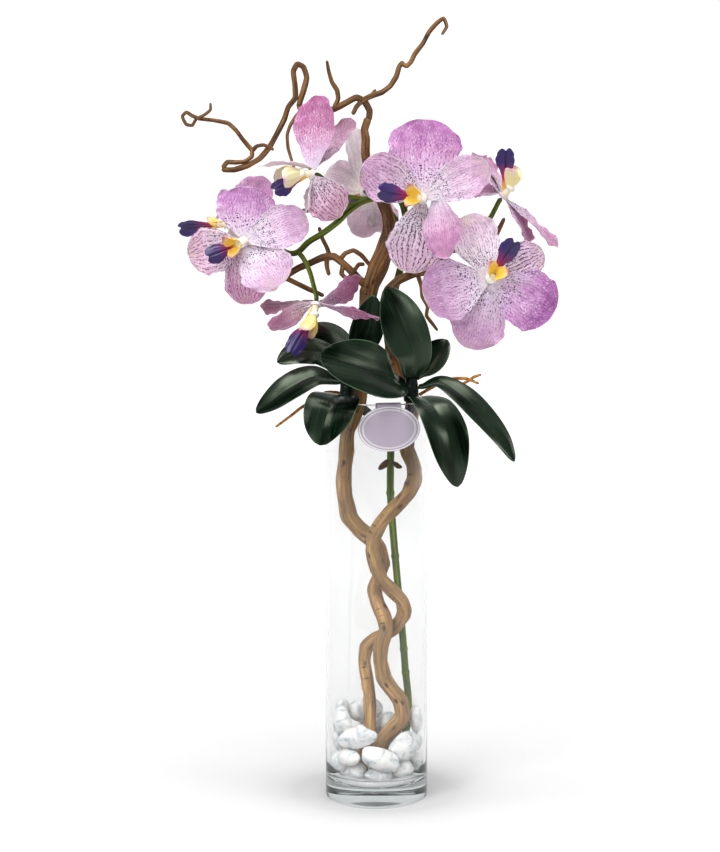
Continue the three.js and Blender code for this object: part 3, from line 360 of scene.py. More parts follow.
# Points round a limb and the spacing of its rings.
LIMB_MESH, TWIG_MESH = (28, 1.8), (14, 1.3)
LIMB_A = [
    [1, -1, 17.3, 7.5], [1, -1, 30, 7.5], [4, -1, 52, 7.5], [9, -1, 62, 7.6], [17, -2, 70, 7.6],
    [26, -3, 82, 7.8], [24, -4, 98, 7.6], [16, -6, 110, 7.4], [7, -8, 123, 7.4], [4, -9, 140, 7.2],
    [5, -11, 156, 7.2], [9, -11, 171, 7.2], [7, -7, 184, 7.2], [1, 0, 198, 7.2], [-2, 7, 210, 7.2],
    [2, 10, 222, 7.2], [6, 11, 236, 7.2], [3, 11, 251, 7.4], [-6, 11, 260, 7.8],
    [-17, 9, 270, 8.2], [-28, 6, 284, 8.2], [-32, 5, 306, 7.8], [-32, 4, 335, 7.4],
    [-28, 3, 370, 7.2], [-18, 3, 393, 7], [-14, 3, 430, 6.6], [-13, 3, 460, 6.6], [-10, 5, 490, 7.4],
    [-6, 6, 513, 8.6], [0, 6, 530, 9.4], [8, 6, 547, 9], [13, 6, 565, 7.4], [10, 6, 585, 5.8],
    [1, 6, 606, 5], [-8, 6, 626, 4.6], [-11, 6, 641, 4.2], [-11, 6, 656, 4], [-12, 6, 666, 3.8],
    [-8, 6, 678, 3.6]]
TWIGS_A = [
    [[-8, 6, 674, 3.6], [-7, 6, 684, 3.6], [-12, 6, 693, 3.6], [-20, 6, 697, 3.6], [-30, 6, 692, 3.5],
     [-42, 8, 686, 3.4], [-58, 12, 681, 3.3], [-72, 13, 681, 3.2], [-76, 12, 690, 3.2],
     [-72, 10, 704, 3.2], [-69, 10, 717, 3.1], [-72, 10, 727, 3], [-78, 10, 730, 3],
     [-82, 10, 723, 3], [-80, 10, 708, 3], [-80, 10, 697, 3], [-87, 10, 688, 3],
     [-91, 10, 676, 3], [-97, 10, 664, 3], [-105, 10, 650, 3.1], [-115, 10, 638, 3.1],
     [-127, 10, 631, 3.1], [-140, 10, 627, 3], [-153, 10, 627, 2.8]],
    [[-152, 9.5, 628, 2.5], [-147, 8, 634, 2.5], [-138, 8, 634, 2.5], [-130, 8, 635, 2.4],
     [-123, 9, 640, 2.4], [-123, 10, 649, 2.4]],
    [[-122, 10, 645, 2.6], [-127, 10, 651, 2.5], [-132, 9, 657, 2.4], [-138, 9, 665, 2.4],
     [-146, 9, 672, 2.3], [-160, 9, 675, 2.2], [-175, 9, 677, 2.1], [-182, 9, 680, 2],
     [-187, 9, 683, 2], [-191, 9, 679, 1.9], [-187, 8, 671, 1.9], [-181, 7, 670, 1.8],
     [-177, 5, 676, 1.8], [-169, 4, 680, 1.7], [-163, 4, 685, 1.6], [-163, 4, 692, 1.3]],
    [[-123, 10, 645, 2.4], [-118, 9, 650, 2.2], [-111, 8, 651, 2], [-101, 8, 646, 1.6]],
    [[-72, 12.5, 687, 2.6], [-80, 10, 678, 2.2], [-85, 7, 670, 2], [-88, 5, 661, 1.8], [-87, 4, 648, 1.8],
     [-83, 4, 634, 1.7], [-80, 4, 624, 1.6]],
    [[-42, 8, 687, 2.6], [-38, 8, 696, 2.6], [-39, 7, 704, 2.6], [-44, 6, 712, 2.4],
     [-47, 6, 722, 2.2], [-49, 6, 733, 1.5]],
    [[-24, 2, 680, 2.2], [-20, 3, 688, 2.6], [-14, 4, 694, 3], [-4, 5, 699, 3],
     [5, 5, 702, 3], [13, 5, 708, 2.9], [19, 4, 717, 2.8], [22, 4, 727, 2.7], [26, 3, 732, 2.6]],
    [[24, 3, 730, 2.4], [29, 3, 727, 2.6], [33, 2, 731, 2.6], [37, 1, 739, 2.6], [45, 0, 749, 2.6],
     [51, 0, 760, 2.5], [58, 0, 768, 2.4], [65, 0, 773, 2.2], [68, 0, 765, 2], [63, 1, 757, 1.4]],
    [[-5, 5, 699, 2.4], [-1, 5, 705, 1.4]],
    [[-8, 6, 512, 4.6], [-17, 4, 519, 4.2], [-25, 2, 527, 4], [-33, 1, 535, 4], [-42, 1, 542, 4],
     [-53, 3, 541, 4], [-66, 5, 535, 3.8], [-78, 6, 530, 3.6], [-89, 6, 523, 3.6], [-93, 6, 517, 3]],
    [[-90, 6, 521, 3], [-80, 6, 516, 2.8], [-66, 6, 509, 2.6], [-52, 6, 503, 2.2]],
    [[-46, 2, 541, 2.8], [-49, 7, 550, 2.4], [-54, 10, 560, 2.2], [-57, 11, 571, 1.8]],
    [[-49, 2, 541, 3], [-49, 1, 532, 2.6], [-47, 1, 523, 2]],
    [[-36, 1, 539, 2.8], [-31, 1, 545, 2.6], [-23, 1, 548, 2.4], [-15, 2, 543, 2.4], [-6, 4, 532, 2.2]],
    [[-33, 1, 534, 2.8], [-35, -1, 525, 2.4], [-29, -3, 520, 2.2], [-23, -2, 527, 2.2],
     [-18, 0, 534, 2.2], [-12, 4, 534, 2]]]
LIMB_B = [
    [-15, 1, 17.3, 6.6], [-15, 1, 32, 6.6], [-12, 2, 50, 6.4], [-7, 3, 68, 6.2],
    [-6, 5, 86, 6.2], [-7, 7, 102, 6.2], [-10, 10, 120, 6.2], [-12, 13, 136, 6.4],
    [-10, 15, 150, 6.8], [-1, 15, 158, 6.8], [9, 13, 163, 6.8], [17, 7, 170, 6.8],
    [24, 0, 180, 6.8], [28, -4, 190, 6.8], [25, -7, 201, 6.8], [15, -8, 211, 6.8],
    [6, -9, 221, 6.8], [0, -11, 235, 6.8], [-5, -13, 252, 6.8], [-3, -14, 266, 6.8],
    [5, -14, 280, 6.8], [18, -13, 295, 6.8], [31, -11, 309, 7], [37, -9, 322, 7.2],
    [36, -6, 336, 7.2], [30, -2, 352, 7], [33, 3, 372, 6.8], [37, 6, 396, 6.6], [27, 8, 420, 6.4],
    [16, 7, 448, 6.2], [13, 4, 466, 6], [8, 0, 492, 5.4], [11, -2, 509, 4.6], [22, -2, 519, 4.2],
    [38, -1, 525, 3.8], [49, 0, 527, 3.4], [58, 4, 535, 3.2], [70, 8, 546, 3], [88, 11, 551, 2.8],
    [106, 11, 553, 2.6], [117, 10, 560, 2.4], [122, 9, 571, 2.2], [126, 9, 580, 1.6]]
TWIGS_B = [
    [[40, -1, 525, 2.6], [44, -2, 512, 2.4], [45, -4, 502, 2.2], [50, -6, 493, 2.1],
     [49, -7, 484, 2], [54, -7, 477, 1.9], [60, -7, 469, 1.4]],
    [[37, -9, 331, 4], [44, -9, 334, 2.4]]]


def smooth_path(stations, spacing, angular=0.0):
    """Even places along the centripetal Catmull-Rom curve through [x, y, z, ...] stations,
    with every further value of the stations, such as a radius, drawn in straight lines
    between them. The curve may be drawn part of the way to the straight lines between
    its stations. Gives places, further values and distances."""
    stations = np.asarray(stations, float)
    knots = stations[:, :3]
    padded = np.concatenate([[2 * knots[0] - knots[1]], knots, [2 * knots[-1] - knots[-2]]])
    gaps = np.linalg.norm(np.diff(padded, axis=0), axis=1) ** 0.5
    reach = np.linspace(0, len(knots) - 1, 24 * len(knots))
    leg = np.minimum(reach.astype(int), len(knots) - 2)
    t = (reach - leg)[:, None]
    p0, p1, p2, p3 = (padded[leg + k] for k in range(4))
    d0, d1, d2 = (gaps[leg + k][:, None] for k in range(3))
    m1 = ((p1 - p0) / d0 - (p2 - p0) / (d0 + d1) + (p2 - p1) / d1) * d1
    m2 = ((p2 - p1) / d1 - (p3 - p1) / (d1 + d2) + (p3 - p2) / d2) * d1
    dense = p1 + m1 * t + (-3 * p1 + 3 * p2 - 2 * m1 - m2) * t ** 2 + (2 * p1 - 2 * p2 + m1 + m2) * t ** 3
    dense += angular * (p1 + (p2 - p1) * t - dense)
    far = np.concatenate([[0], np.cumsum(np.linalg.norm(np.diff(dense, axis=0), axis=1))])
    even = np.linspace(0, far[-1], max(int(far[-1] / spacing), 4) + 1)
    at = np.interp(even, far, reach)
    values = [np.interp(at, np.arange(len(knots)), column) for column in stations[:, 3:].T]
    return np.stack([np.interp(even, far, axis) for axis in dense.T], -1), values, even


def cross_ways(path):
    """Two directions across a path: the first is carried from place to place with the
    least turning, and the second is square to it and to the path."""
    ahead = unit(np.gradient(path, axis=0))
    side = np.empty_like(path)
    side[0] = unit(np.cross(ahead[0], (0.31, 0.9, 0.29)))
    for i in range(1, len(path)):
        side[i] = unit(side[i - 1] - ahead[i] * (side[i - 1] @ ahead[i]))
    return side, np.cross(ahead, side)


def ring_ways(side, over, angle):
    """Directions round a circle: cos(angle) side + sin(angle) over."""
    return np.cos(angle)[..., None] * side[..., None, :] + np.sin(angle)[..., None] * over[..., None, :]


def domed(edge):
    """The share of a radius, sqrt(1 - (1 - edge)^2), that rounds off an end, where edge is
    how far the end is in radii."""
    return np.sqrt(1 - (1 - np.clip(edge, 0.02, 1)) ** 2)


def grain_field(radius, angle, along):
    """Places across the grain both ways and along it, in millimetres."""
    return np.stack([radius[:, None] * np.cos(angle), radius[:, None] * np.sin(angle), along], -1)


def limb(stations, mesh, seed, rough=1.0):
    """A round limb carried along its stations. Its radius is multiplied by 1 plus slow
    sine waves round and along it, which flute the grain, plus a few short swellings,
    which are its knots, and it is rounded off at both ends."""
    draw = np.random.default_rng(seed)
    around, spacing = mesh
    path, (radius,), far = smooth_path(stations, spacing, 0.6)
    s, a = np.meshgrid(far, circle(around), indexing="ij")
    swell = np.ones(s.shape)
    for turns, wavelength, height in FLUTES:
        swell += rough * height * np.sin(turns * a + 2 * np.pi * s / wavelength + draw.uniform(0, 6.3))
    for _ in range(int(far[-1] / KNOT_SPACING)):
        where, facing = draw.uniform(0, far[-1]), draw.uniform(0, 6.3)
        turn = np.abs((a - facing + np.pi) % (2 * np.pi) - np.pi)
        bump = np.exp(-((s - where) / KNOT_LENGTH) ** 2 - (turn / KNOT_TURN) ** 2)
        swell += rough * draw.uniform(0.05, 0.17) * bump
    girth = (radius * domed(np.minimum(far, far[-1] - far) / radius))[:, None] * swell
    rings = path[:, None] + girth[..., None] * ring_ways(*cross_ways(path), a)
    return tube_skin(rings, grain=grain_field(radius, a, s + 400 * draw.uniform()))


def cells(at, scale):
    """Round cells about scattered middles, as distances and a colour for each cell."""
    at = stretched(at, scale)
    return node(at.id_data, "TexVoronoi", {"Vector": at, "Scale": 1.0}).outputs


def field(tree, name, output="Vector"):
    """A field of the mesh, as a vector or as one number."""
    return node(tree, "Attribute", attribute_name=name).outputs[output]


def mixed(share, under, over):
    """One colour mixed over another by a share. Either may be a hex code."""
    under, over = (linear(colour) if isinstance(colour, str) else colour for colour in (under, over))
    return node(share.id_data, "Mix", {0: share, 6: under, 7: over}, data_type="RGBA").outputs[2]


def times(first, *values):
    """The product of values."""
    for value in values:
        first = maths("MULTIPLY", first, value)
    return first


def mouth_share(tree):
    """0 below the vase's mouth and 1 above it, by height in metres."""
    _, _, height = split(node(tree, "TexCoord").outputs["Object"])
    return span(height, 0.34, 0.44)


def tinted(colour, factor):
    """A colour multiplied by a factor."""
    inputs = {0: 1.0, 6: colour, 7: factor}
    return node(colour.id_data, "Mix", inputs, data_type="RGBA", blend_type="MULTIPLY").outputs[2]


# Peeled, weathered hazel wood, matt: streaks 2 to 3 mm wide run along the grain from
# tan to umber, with near-black knots, hairline checks and short bud scars across it.
# Painted light makes the limbs paler and plainer below the vase's mouth, and painted shade
# makes them darker above it.
hazel, tree, shader = new_finish("peeled_weathered_hazel", Roughness=0.62, Specular_IOR_Level=0.35)
grain = field(tree, "grain")
aloft = mouth_share(tree)
streak = noise(grain, (0.44, 0.44, 0.032), 6.0, 0.6, 0.5)
blotch = noise(grain, (0.09, 0.09, 0.022), 3.0)
wood = ramp(streak, (0.3, "#42260d"), (0.43, "#704825"), (0.56, "#986c38"), (0.74, "#cb9f64"))
toned = tinted(wood, span(blotch, 0.38, 0.62, 0.62, 1.14))
# Painted light and shade: below the vase's mouth the wood is lightened and mixed towards a plain beige, and
# above it the wood is darkened.
lit_below_shaded_above = tinted(toned, mixed(aloft, (1.4, 1.55, 1.6, 1), (0.7, 0.67, 0.67, 1)))
plain = mixed(span(aloft, 0.0, 1.0, 0.34, 0.0), lit_below_shaded_above, "#a0845e")
knot = span(cells(grain, (0.1, 0.1, 0.055))["Distance"], 0.09, 0.24, 0.88, 0.0)
check = span(noise(grain, (0.6, 0.6, 0.2), 4.0, 0.7), 0.64, 0.72, 0.0, 0.7)
bands = cells(grain, (0.09, 0.09, 0.34))
lot = node(tree, "SeparateColor", {"Color": bands["Color"]}).outputs["Red"]
scar = times(span(bands["Distance"], 0.2, 0.34, 0.8, 0.0), maths("GREATER_THAN", lot, 0.86))
marks = maths("MAXIMUM", maths("MAXIMUM", knot, check), scar)
coat(tree, shader, mixed(marks, plain, "#2c1f16"), maths("SUBTRACT", streak, marks), 0.5, 0.0012)

for name, trunk, twigs, seed in (("branch_left", LIMB_A, TWIGS_A, 10), ("branch_right", LIMB_B, TWIGS_B, 40)):
    stout = [[x, y, z, r * BRANCH_GIRTH] for x, y, z, r in trunk]
    skins = [limb(stout, LIMB_MESH, seed)]
    for i, route in enumerate(twigs, 1):
        slim = [[x, y, z, r * TWIG_GIRTH] for x, y, z, r in route]
        skins.append(limb(slim, TWIG_MESH, seed + i, 0.9))
    piece("hazel_" + name, skins, hazel, [name])

# ------------------------------------------------------------------ orchid stem
# The fleshy green stem stands behind the branches, forks under two leaf bases in the
# mouth and runs on as the flower spike. Pedicels leave it and end behind the blooms.
CROWNS = {"left": (-29, -14, 404), "right": (34, -15, 398)}
CROWN_RADIUS, CROWN_NECK, CROWN_HEIGHT = 8.0, 5.0, 34.0
HUB_LENGTH = 4.0
TOUCH = 0.3
LEAF_SCARS, SCAR_SWELL, SCAR_WIDTH = (123, 147, 242, 306), 0.9, 1.3
# The withered sheath ends: foot, tip, width and seed.
BRACTS = (((12, 5, 340), (2, 2, 331), 6, 1), ((16, 5, 338), (25, 2, 333), 5, 2))
STEM = [
    [15, 12, 17.3, 3.7], [15, 12, 30, 3.7], [27, 16, 54, 3.7], [33, 18, 74, 3.7], [33, 18, 95, 3.7],
    [30, 18, 123, 3.7], [28, 18, 147, 3.7], [26, 18, 170, 3.7], [22, 16, 210, 3.7],
    [19, 16, 242, 3.7], [16, 16, 277, 3.7], [14, 14, 306, 3.7], [14, 10, 331, 3.7],
    [14, 2, 356, 3.8], [13, -8, 378, 4.2]]
STEM_ARMS = [
    [[14, 4, 352, 3.9], [6, 17, 368, 4], [-12, 20, 384, 4], [-32, 14, 394, 4], [-36, 0, 399, 4.4],
     [-29, -14, 410, 5]],
    [[13, -7, 375, 4.2], [21, -13, 381, 4.4], [31, -15, 388, 4.8], [34, -15, 402, 5.5]]]
PEDICELS = {
    "left": [
        [34, -13, 424, 4.2], [30, -4, 440, 4.2], [27, 14, 456, 4], [20, 19, 480, 3.8],
        [18, 18, 505, 3.7], [24, 16, 532, 3.6], [28, 10, 562, 3.5], [28, 0, 582, 3.4],
        [22, -8, 597, 3.4], [8, -9, 599, 3.3], [-6, -9, 598, 3.3], [-17, -8, 594, 3.3],
        [-28, -6, 586, 3.2], [-38, -4, 576, 3.2], [-54, -3, 564, 3.1], [-67, -3, 556, 3.1],
        [-78, -3, 546, 3], [-86, -5, 545, 2.8], [-100, -9, 552, 2.6], [-116, -12, 556, 2.5]],
    "right": [
        [28, 4, 574, 3.2], [42, 2, 582, 3], [62, 5, 582, 2.8], [84, 6, 576, 2.7],
        [100, 4, 573, 2.6], [110, 2, 578, 2.5], [116, 1, 588, 2.4]],
    "upper_left": [[-2, -9, 598, 2.8], [-14, -5, 598, 2.6], [-26, 3, 600, 2.5], [-42, 7, 606, 2.4]],
    "back_left": [
        [-14, -8, 595, 2.6], [-26, 2, 592, 2.5], [-42, 17, 590, 2.4], [-62, 24, 588, 2.4],
        [-100, 24, 583, 2.3]],
    "lower_left": [[-78, -3, 547, 2.6], [-72, -8, 540, 2.5], [-66, -12, 528, 2.4], [-62, -14, 514, 2.3]],
    "back": [[28, 10, 564, 2.6], [18, 17, 580, 2.5], [4, 20, 596, 2.4]],
    "centre": [[26, -3, 588, 2.8], [33, -8, 597, 2.6]],
    "lower_right": [[80, 6, 577, 2.6], [94, 0, 564, 2.5], [103, -8, 545, 2.4]]}
# Where each bloom sits and the way it faces.
FACING = {
    "left": ((-130, -22, 556), (-0.25, -0.95, -0.1)),
    "upper_left": ((-65, -10, 622), (-0.92, -0.35, 0.1)),
    "back_left": ((-147, 22, 574), (-0.85, 0.45, 0.1)),
    "lower_left": ((-60, -20, 494), (-0.12, -0.4, -0.9)),
    "centre": ((44, -20, 598), (-0.08, -0.99, 0.05)),
    "back": ((-12, 24, 606), (-0.15, 0.98, 0.05)),
    "right": ((125, -2, 602), (0.6, -0.3, 0.74)),
    "lower_right": ((110, -26, 521), (0.05, -0.99, -0.05))}


def stalk(stations, around=16, rings_at=(), zone=0.0):
    """A smooth stalk carried along its stations, swollen in a narrow ring at each leaf
    scar, with its ends rounded off."""
    path, (radius,), far = smooth_path(stations, 1.6)
    for height in rings_at:
        radius = radius + SCAR_SWELL * np.exp(-((path[:, 2] - height) / SCAR_WIDTH) ** 2)
    radius = radius * domed(np.minimum(far, far[-1] - far) / radius)
    a = circle(around)
    grain = grain_field(radius, a, np.broadcast_to(far[:, None], (len(far), around)))
    rings = path[:, None] + radius[:, None, None] * ring_ways(*cross_ways(path), a)
    return tube_skin(rings, grain=grain, kind=np.full(grain.shape, zone))


def leaf_base(x, y, z):
    """The clasped leaf bases of one fan: a taper from radius to neck, turned about a
    vertical axis and stepped by the edge of each sheath, which winds round it."""
    profile = np.linspace(0, 1, 60)
    radius = CROWN_RADIUS + (CROWN_NECK - CROWN_RADIUS) * profile
    radius = radius * domed(np.minimum(profile, 1 - profile) * 9)
    rings = turned(np.stack([radius, profile * CROWN_HEIGHT], -1), 40)
    rings[..., :2] *= (1 + 0.05 * ((profile[:, None] * 5 + circle(40) / np.pi) % 1 - 0.5))[..., None]
    return tube_skin(rings + (x, y, z), grain=rings, kind=np.ones(rings.shape))


def blade_skin(middle, thickness, **fields):
    """Closed skin of a thin blade: its middle surface (along, across, 3) moved half the
    thickness to each side along its own normal, and joined round the rim."""
    normal = unit(np.cross(np.gradient(middle, axis=1), np.gradient(middle, axis=0)))
    shift = normal * thickness[..., None] / 2
    rows, cols = middle.shape[:2]
    corner = np.arange(rows * cols).reshape(rows, cols)
    front = np.stack([corner[:-1, :-1], corner[:-1, 1:], corner[1:, 1:], corner[1:, :-1]], -1).reshape(-1, 4)
    rim = np.concatenate([corner[0], corner[1:, -1], corner[-1, -2::-1], corner[-2:0:-1, 0]])
    beyond = np.roll(rim, -1)
    back = rows * cols
    wall = np.stack([beyond, rim, rim + back, beyond + back], -1)
    return {
        "points": np.concatenate([(middle + shift).reshape(-1, 3), (middle - shift).reshape(-1, 3)]),
        "faces": [front, front[:, ::-1] + back, wall],
        "fields": {key: np.concatenate([grid.reshape(-1, 3)] * 2) for key, grid in fields.items()}}


def dry_bract(foot, tip, width, seed):
    """A withered sheath end: a pointed, cupped blade on a straight run, whose half width
    goes as the root of v(1 - v), crumpled by two sine waves."""
    draw = np.random.default_rng(seed)
    run = np.subtract(tip, foot)
    v, u = np.meshgrid(np.linspace(0, 1, 16), np.linspace(-1, 1, 11), indexing="ij")
    side = unit(np.cross(run, (0.1, 1, 0.2)))
    up = np.cross(unit(run), side)
    half = width / 2 * (v * (1 - v) * 4 + 0.05) ** 0.5
    crumple = 0.5 * np.sin(9 * v + draw.uniform(0, 6)) + 0.4 * np.sin(5 * u + 7 * v + draw.uniform(0, 6))
    lift = half * u ** 2 * 0.8 + crumple
    middle = foot + run * v[..., None] + side * (half * u)[..., None] + up * lift[..., None]
    grain = np.stack([half * u, u, v * 9], -1)
    return blade_skin(middle, np.full(u.shape, 0.6), grain=grain, kind=np.full(grain.shape, 2.0))


# Living orchid stem, satin: olive green with lighter lengthwise stripes 1 mm wide, lightened
# by painted light below the vase's mouth and darkened by painted shade above it. The leaf
# bases are as dark as the leaves, and the withered sheaths are brown.
stem_skin, tree, shader = new_finish(
    "satin_green_orchid_stem", Roughness=0.45, Specular_IOR_Level=0.2, Subsurface_Weight=0.08,
    Subsurface_Scale=0.002)
kind = field(tree, "kind", "Fac")
stripe = noise(field(tree, "grain"), (0.5, 0.5, 0.02), 4.0)
green = ramp(stripe, (0.32, "#2b3b05"), (0.5, "#475809"), (0.68, "#6e821d"))
# Painted light below the vase's mouth and painted shade above it.
toned = tinted(green, mixed(mouth_share(tree), (1.45, 1.45, 1, 1), (0.95, 0.85, 1, 1)))
sheathed = mixed(kind, toned, "#06130a")
dried = mixed(maths("GREATER_THAN", kind, 1.5), sheathed, "#6a4a26")
coat(tree, shader, dried, stripe, 0.25, 0.0006)

skins = [stalk(STEM, rings_at=LEAF_SCARS)]
skins += [stalk(arm, zone=1.0) for arm in STEM_ARMS]
skins += [leaf_base(*place) for place in CROWNS.values()]
skins += [dry_bract(*bract) for bract in BRACTS]
for name, route in PEDICELS.items():
    hub, facing = np.array(FACING[name], float)
    end = hub - unit(facing) * (HUB_LENGTH + TOUCH)
    radius = route[-1][3]
    skins.append(stalk([*route, [*(end - 4 * unit(facing)), radius], [*end, radius]], 14))
piece("green_stem", skins, stem_skin, ["orchid_stem"])

# ------------------------------------------------------------------ leaves
# Thick strap leaves with a sunk midrib. Each clasps a leaf base and arches away, its
# upper side waxy and dark with a fine pale margin.
LEAF_THICKNESS = 1.5
LEAF_CLAW, LEAF_BROADEST, LEAF_COLLAR = 0.3, 0.5, 5.0
# A leaf: its leaf base, bearing, height, width, fold, rise at the foot, how late it turns,
# the places of its midrib, and the way its face looks at the foot and at the tip.
LEAVES = {
    "right_front": (
        "right", 215, 416, 58, 0.12, 0.1, 1,
        [[12, -42, 425], [-14, -60, 436], [-36, -70, 443], [-55, -76, 449]],
        (0, -0.8, 0.6), (0.1, -0.9, 0.45)),
    "right_up": (
        "right", 268, 424, 44, 0.15, 1.5, 1,
        [[36, -29, 446], [29, -28, 468], [20, -24, 490], [9, -19, 512]], (0, -1, -0.4), (0, -1, 0)),
    "right_side_up": (
        "right", 20, 421, 34, 0.2, 1, 0.5,
        [[50, -10, 431], [60, -8, 446], [70, -8, 460]], (-0.7, -0.2, 0.7), (-0.5, -1, 0.3)),
    "right_drooping": (
        "right", 340, 414, 28, 0.2, 0.1, 1,
        [[61, -25, 419], [81, -35, 408], [101, -42, 389], [120, -46, 366], [133, -48, 344]],
        (0, -0.6, 1), (0.4, -0.9, 0.5)),
    "right_hanging": (
        "right", 286, 403.5, 42, 0.1, 0.1, 1,
        [[44, -43, 405], [54, -61, 398], [66, -71, 376], [72, -73, 350], [77, -71, 322]],
        (0, 0, 1), (0.2, -1, 0)),
    "left_side": (
        "left", 205, 420, 33, 0.15, 0.1, 1,
        [[-60, -27, 425], [-85, -36, 414], [-102, -40, 402], [-117, -43, 391]],
        (0, -0.7, 1), (-0.3, -0.9, 0.5)),
    "left_hanging": (
        "left", 262, 405, 50, 0.1, 0.1, 1,
        [[-35, -42, 406], [-44, -61, 399], [-51, -68, 382], [-55, -69, 362]], (0, 0, 1), (0, -1, 0)),
    "left_far": (
        "left", 178, 433, 30, 0.15, 0.1, 1,
        [[-56, -6, 446], [-78, -6, 447], [-98, -8, 438]], (0, -0.9, 0.8), (0, -0.95, 0.5)),
    "left_back": (
        "left", 110, 436, 44, 0.1, 0.1, 1,
        [[-41, 7, 450], [-54, 17, 459], [-66, 22, 457], [-79, 24, 448]], (0, -0.7, 0.8), (0, -0.9, 0.5)),
    "left_up": (
        "left", 338, 431, 34, 0.08, 1.5, 0.4,
        [[-18, -14, 450], [-10, -11, 470], [-6, -9.6, 488], [-3, -9.4, 504]], (0.8, -0.3, -0.4), (0, -1, 0))}


def strap_leaf(crown, bearing, height, width, fold, rise, turning, spine, base_face, tip_face, seed):
    """A strap leaf: half its width grows as a sine to the broadest place and then falls as
    (1 - 0.94 t^2)^0.75; the surface is folded up to both sides of the midrib, each
    side bulges a little, and the margin waves slowly."""
    x, y, z = CROWNS[crown]
    taper = (CROWN_RADIUS - CROWN_NECK) * min((height - z) / CROWN_HEIGHT, 1)
    out = np.array([np.cos(np.radians(bearing)), np.sin(np.radians(bearing)), 0])
    slope = np.hypot(1, rise)
    collar = LEAF_COLLAR / slope
    foot = np.array([x, y, height]) + out * (CROWN_RADIUS - taper + TOUCH)
    first = foot + out * (0.2 + 0.8 * rise / slope)
    second = foot + out * collar + (0, 0, collar * rise)
    path, _, far = smooth_path([first, second, *spine], 1.7)
    share = far / far[-1]
    ahead = unit(np.gradient(path, axis=0))
    face = np.outer(1 - share ** turning, base_face) + np.outer(share ** turning, tip_face)
    up = unit(face - ahead * np.einsum("ij,ij->i", face, ahead)[:, None])
    side = np.cross(ahead, up)
    v, u = np.meshgrid(share, np.sin(np.linspace(-np.pi / 2, np.pi / 2, 29)), indexing="ij")
    grow = LEAF_CLAW + (1 - LEAF_CLAW) * np.sin(np.pi / 2 * np.minimum(v / LEAF_BROADEST, 1))
    fall = (1 - 0.94 * (np.maximum(v - LEAF_BROADEST, 0) / (1 - LEAF_BROADEST)) ** 2) ** 0.75
    round_end = np.sqrt(np.clip((1.0 - v) / 0.02, 0.02, 1))
    half = width / 2 * np.where(v < LEAF_BROADEST, grow, fall) * round_end
    phase = np.random.default_rng(seed).uniform(0, 6.3)
    wave = 0.035 * np.sin(2 * np.pi * 1.3 * v + phase + 1.5 * (u > 0)) * np.abs(u) ** 2
    lift = half * (fold * np.sqrt(u ** 2 + 0.004) + 0.05 * np.sin(np.pi * np.abs(u)) + wave)
    middle = path[:, None] + side[:, None] * (half * u)[..., None] + up[:, None] * lift[..., None]
    thickness = LEAF_THICKNESS * (1 - 0.7 * np.abs(u) ** 4)
    blade = np.stack([u, v, np.full(u.shape, seed / 10)], -1)
    lengths = np.stack([half * u, v * far[-1], np.full(u.shape, 37.0 * seed)], -1)
    return blade_skin(middle, thickness, blade=blade, lengths=lengths)


# Waxy vanda leaf, roughness 0.27 with a greenish gloss: blackish green with paler streaks
# along the veins, a sunk midrib and a light margin half a millimetre wide. Patches 30 to 70
# mm long keep a waxy coat and are glossier, and between them it is worn off. The patches
# are also painted a paler green: painted sheen.
leaf_skin, tree, shader = new_finish("waxy_dark_strap_leaf", Roughness=0.27, Specular_Tint=linear("#dcebcf"))
lengths = field(tree, "lengths")
u, v, _ = split(field(tree, "blade"))
across = maths("ABSOLUTE", u)
vein = noise(lengths, (0.42, 0.022, 1.0), 5.0, 0.6)
green = ramp(vein, (0.3, "#010402"), (0.5, "#030e06"), (0.66, "#0b2413"), (0.85, "#234a2c"))
edged = mixed(span(across, 0.965, 0.99, 0.0, 0.55), green, "#6f9070")
midrib = span(across, 0.012, 0.04, 0.75, 0.0)
ribbed = mixed(midrib, edged, "#050f09")
wax_and_painted_sheen = span(noise(lengths, (0.04, 0.014, 1.0), 1.5, 0.5, 0.4), 0.38, 0.66)
tree.links.new(span(wax_and_painted_sheen, 0.0, 1.0, 0.05, 1.0), shader.inputs["Specular IOR Level"])
# Painted sheen: the glossy patches are painted a paler green.
painted_sheen = mixed(times(wax_and_painted_sheen, 0.12), ribbed, "#34523f")
coat(tree, shader, painted_sheen, maths("SUBTRACT", vein, midrib), 0.18, 0.0008)

for seed, (name, leaf) in enumerate(LEAVES.items(), 1):
    piece("strap_leaf_" + name, [strap_leaf(*leaf, seed)], leaf_skin, ["leaf_" + name])

# ------------------------------------------------------------------ aerial roots
# Dry aerial roots, ridged and amber brown, push out sideways from the leaf bases. A root
# has its leaf base, bearing, height and routes, of which the first starts at that base.
ROOT_FOOT, ROOT_MESH = 2.0, (12, 0.9)
ROOTS = {
    "right": ("right", 19, 406, [
        [[52, -8, 412, 1.6], [63, -8, 418, 1.6], [76, -8, 422, 1.6], [88, -8, 422, 1.5], [101, -8, 417, 1.2]],
        [[70, -8, 420, 1.4], [82, -10, 416, 1.4], [90, -10, 420, 1.4], [96, -9, 424, 1.4],
         [103, -9, 426, 1.1]]]),
    "left": ("left", 156, 408, [
        [[-50, -6, 408, 1.6], [-62, -5, 401, 1.6], [-75, -6, 393, 1.5], [-85, -7, 385, 1.5],
         [-93, -8, 379, 1.4], [-100, -8, 374, 1.1]]])}

# Dry root skin, matt: amber to umber with fine cross ridges about 2 mm apart.
root_skin, tree, shader = new_finish("dry_amber_root", Roughness=0.6)
ridge = noise(field(tree, "grain"), (0.3, 0.3, 0.5), 4.0)
amber = ramp(ridge, (0.35, "#7a4512"), (0.5, "#b87420"), (0.68, "#d99a44"))
coat(tree, shader, amber, ridge, 0.5, 0.0008)

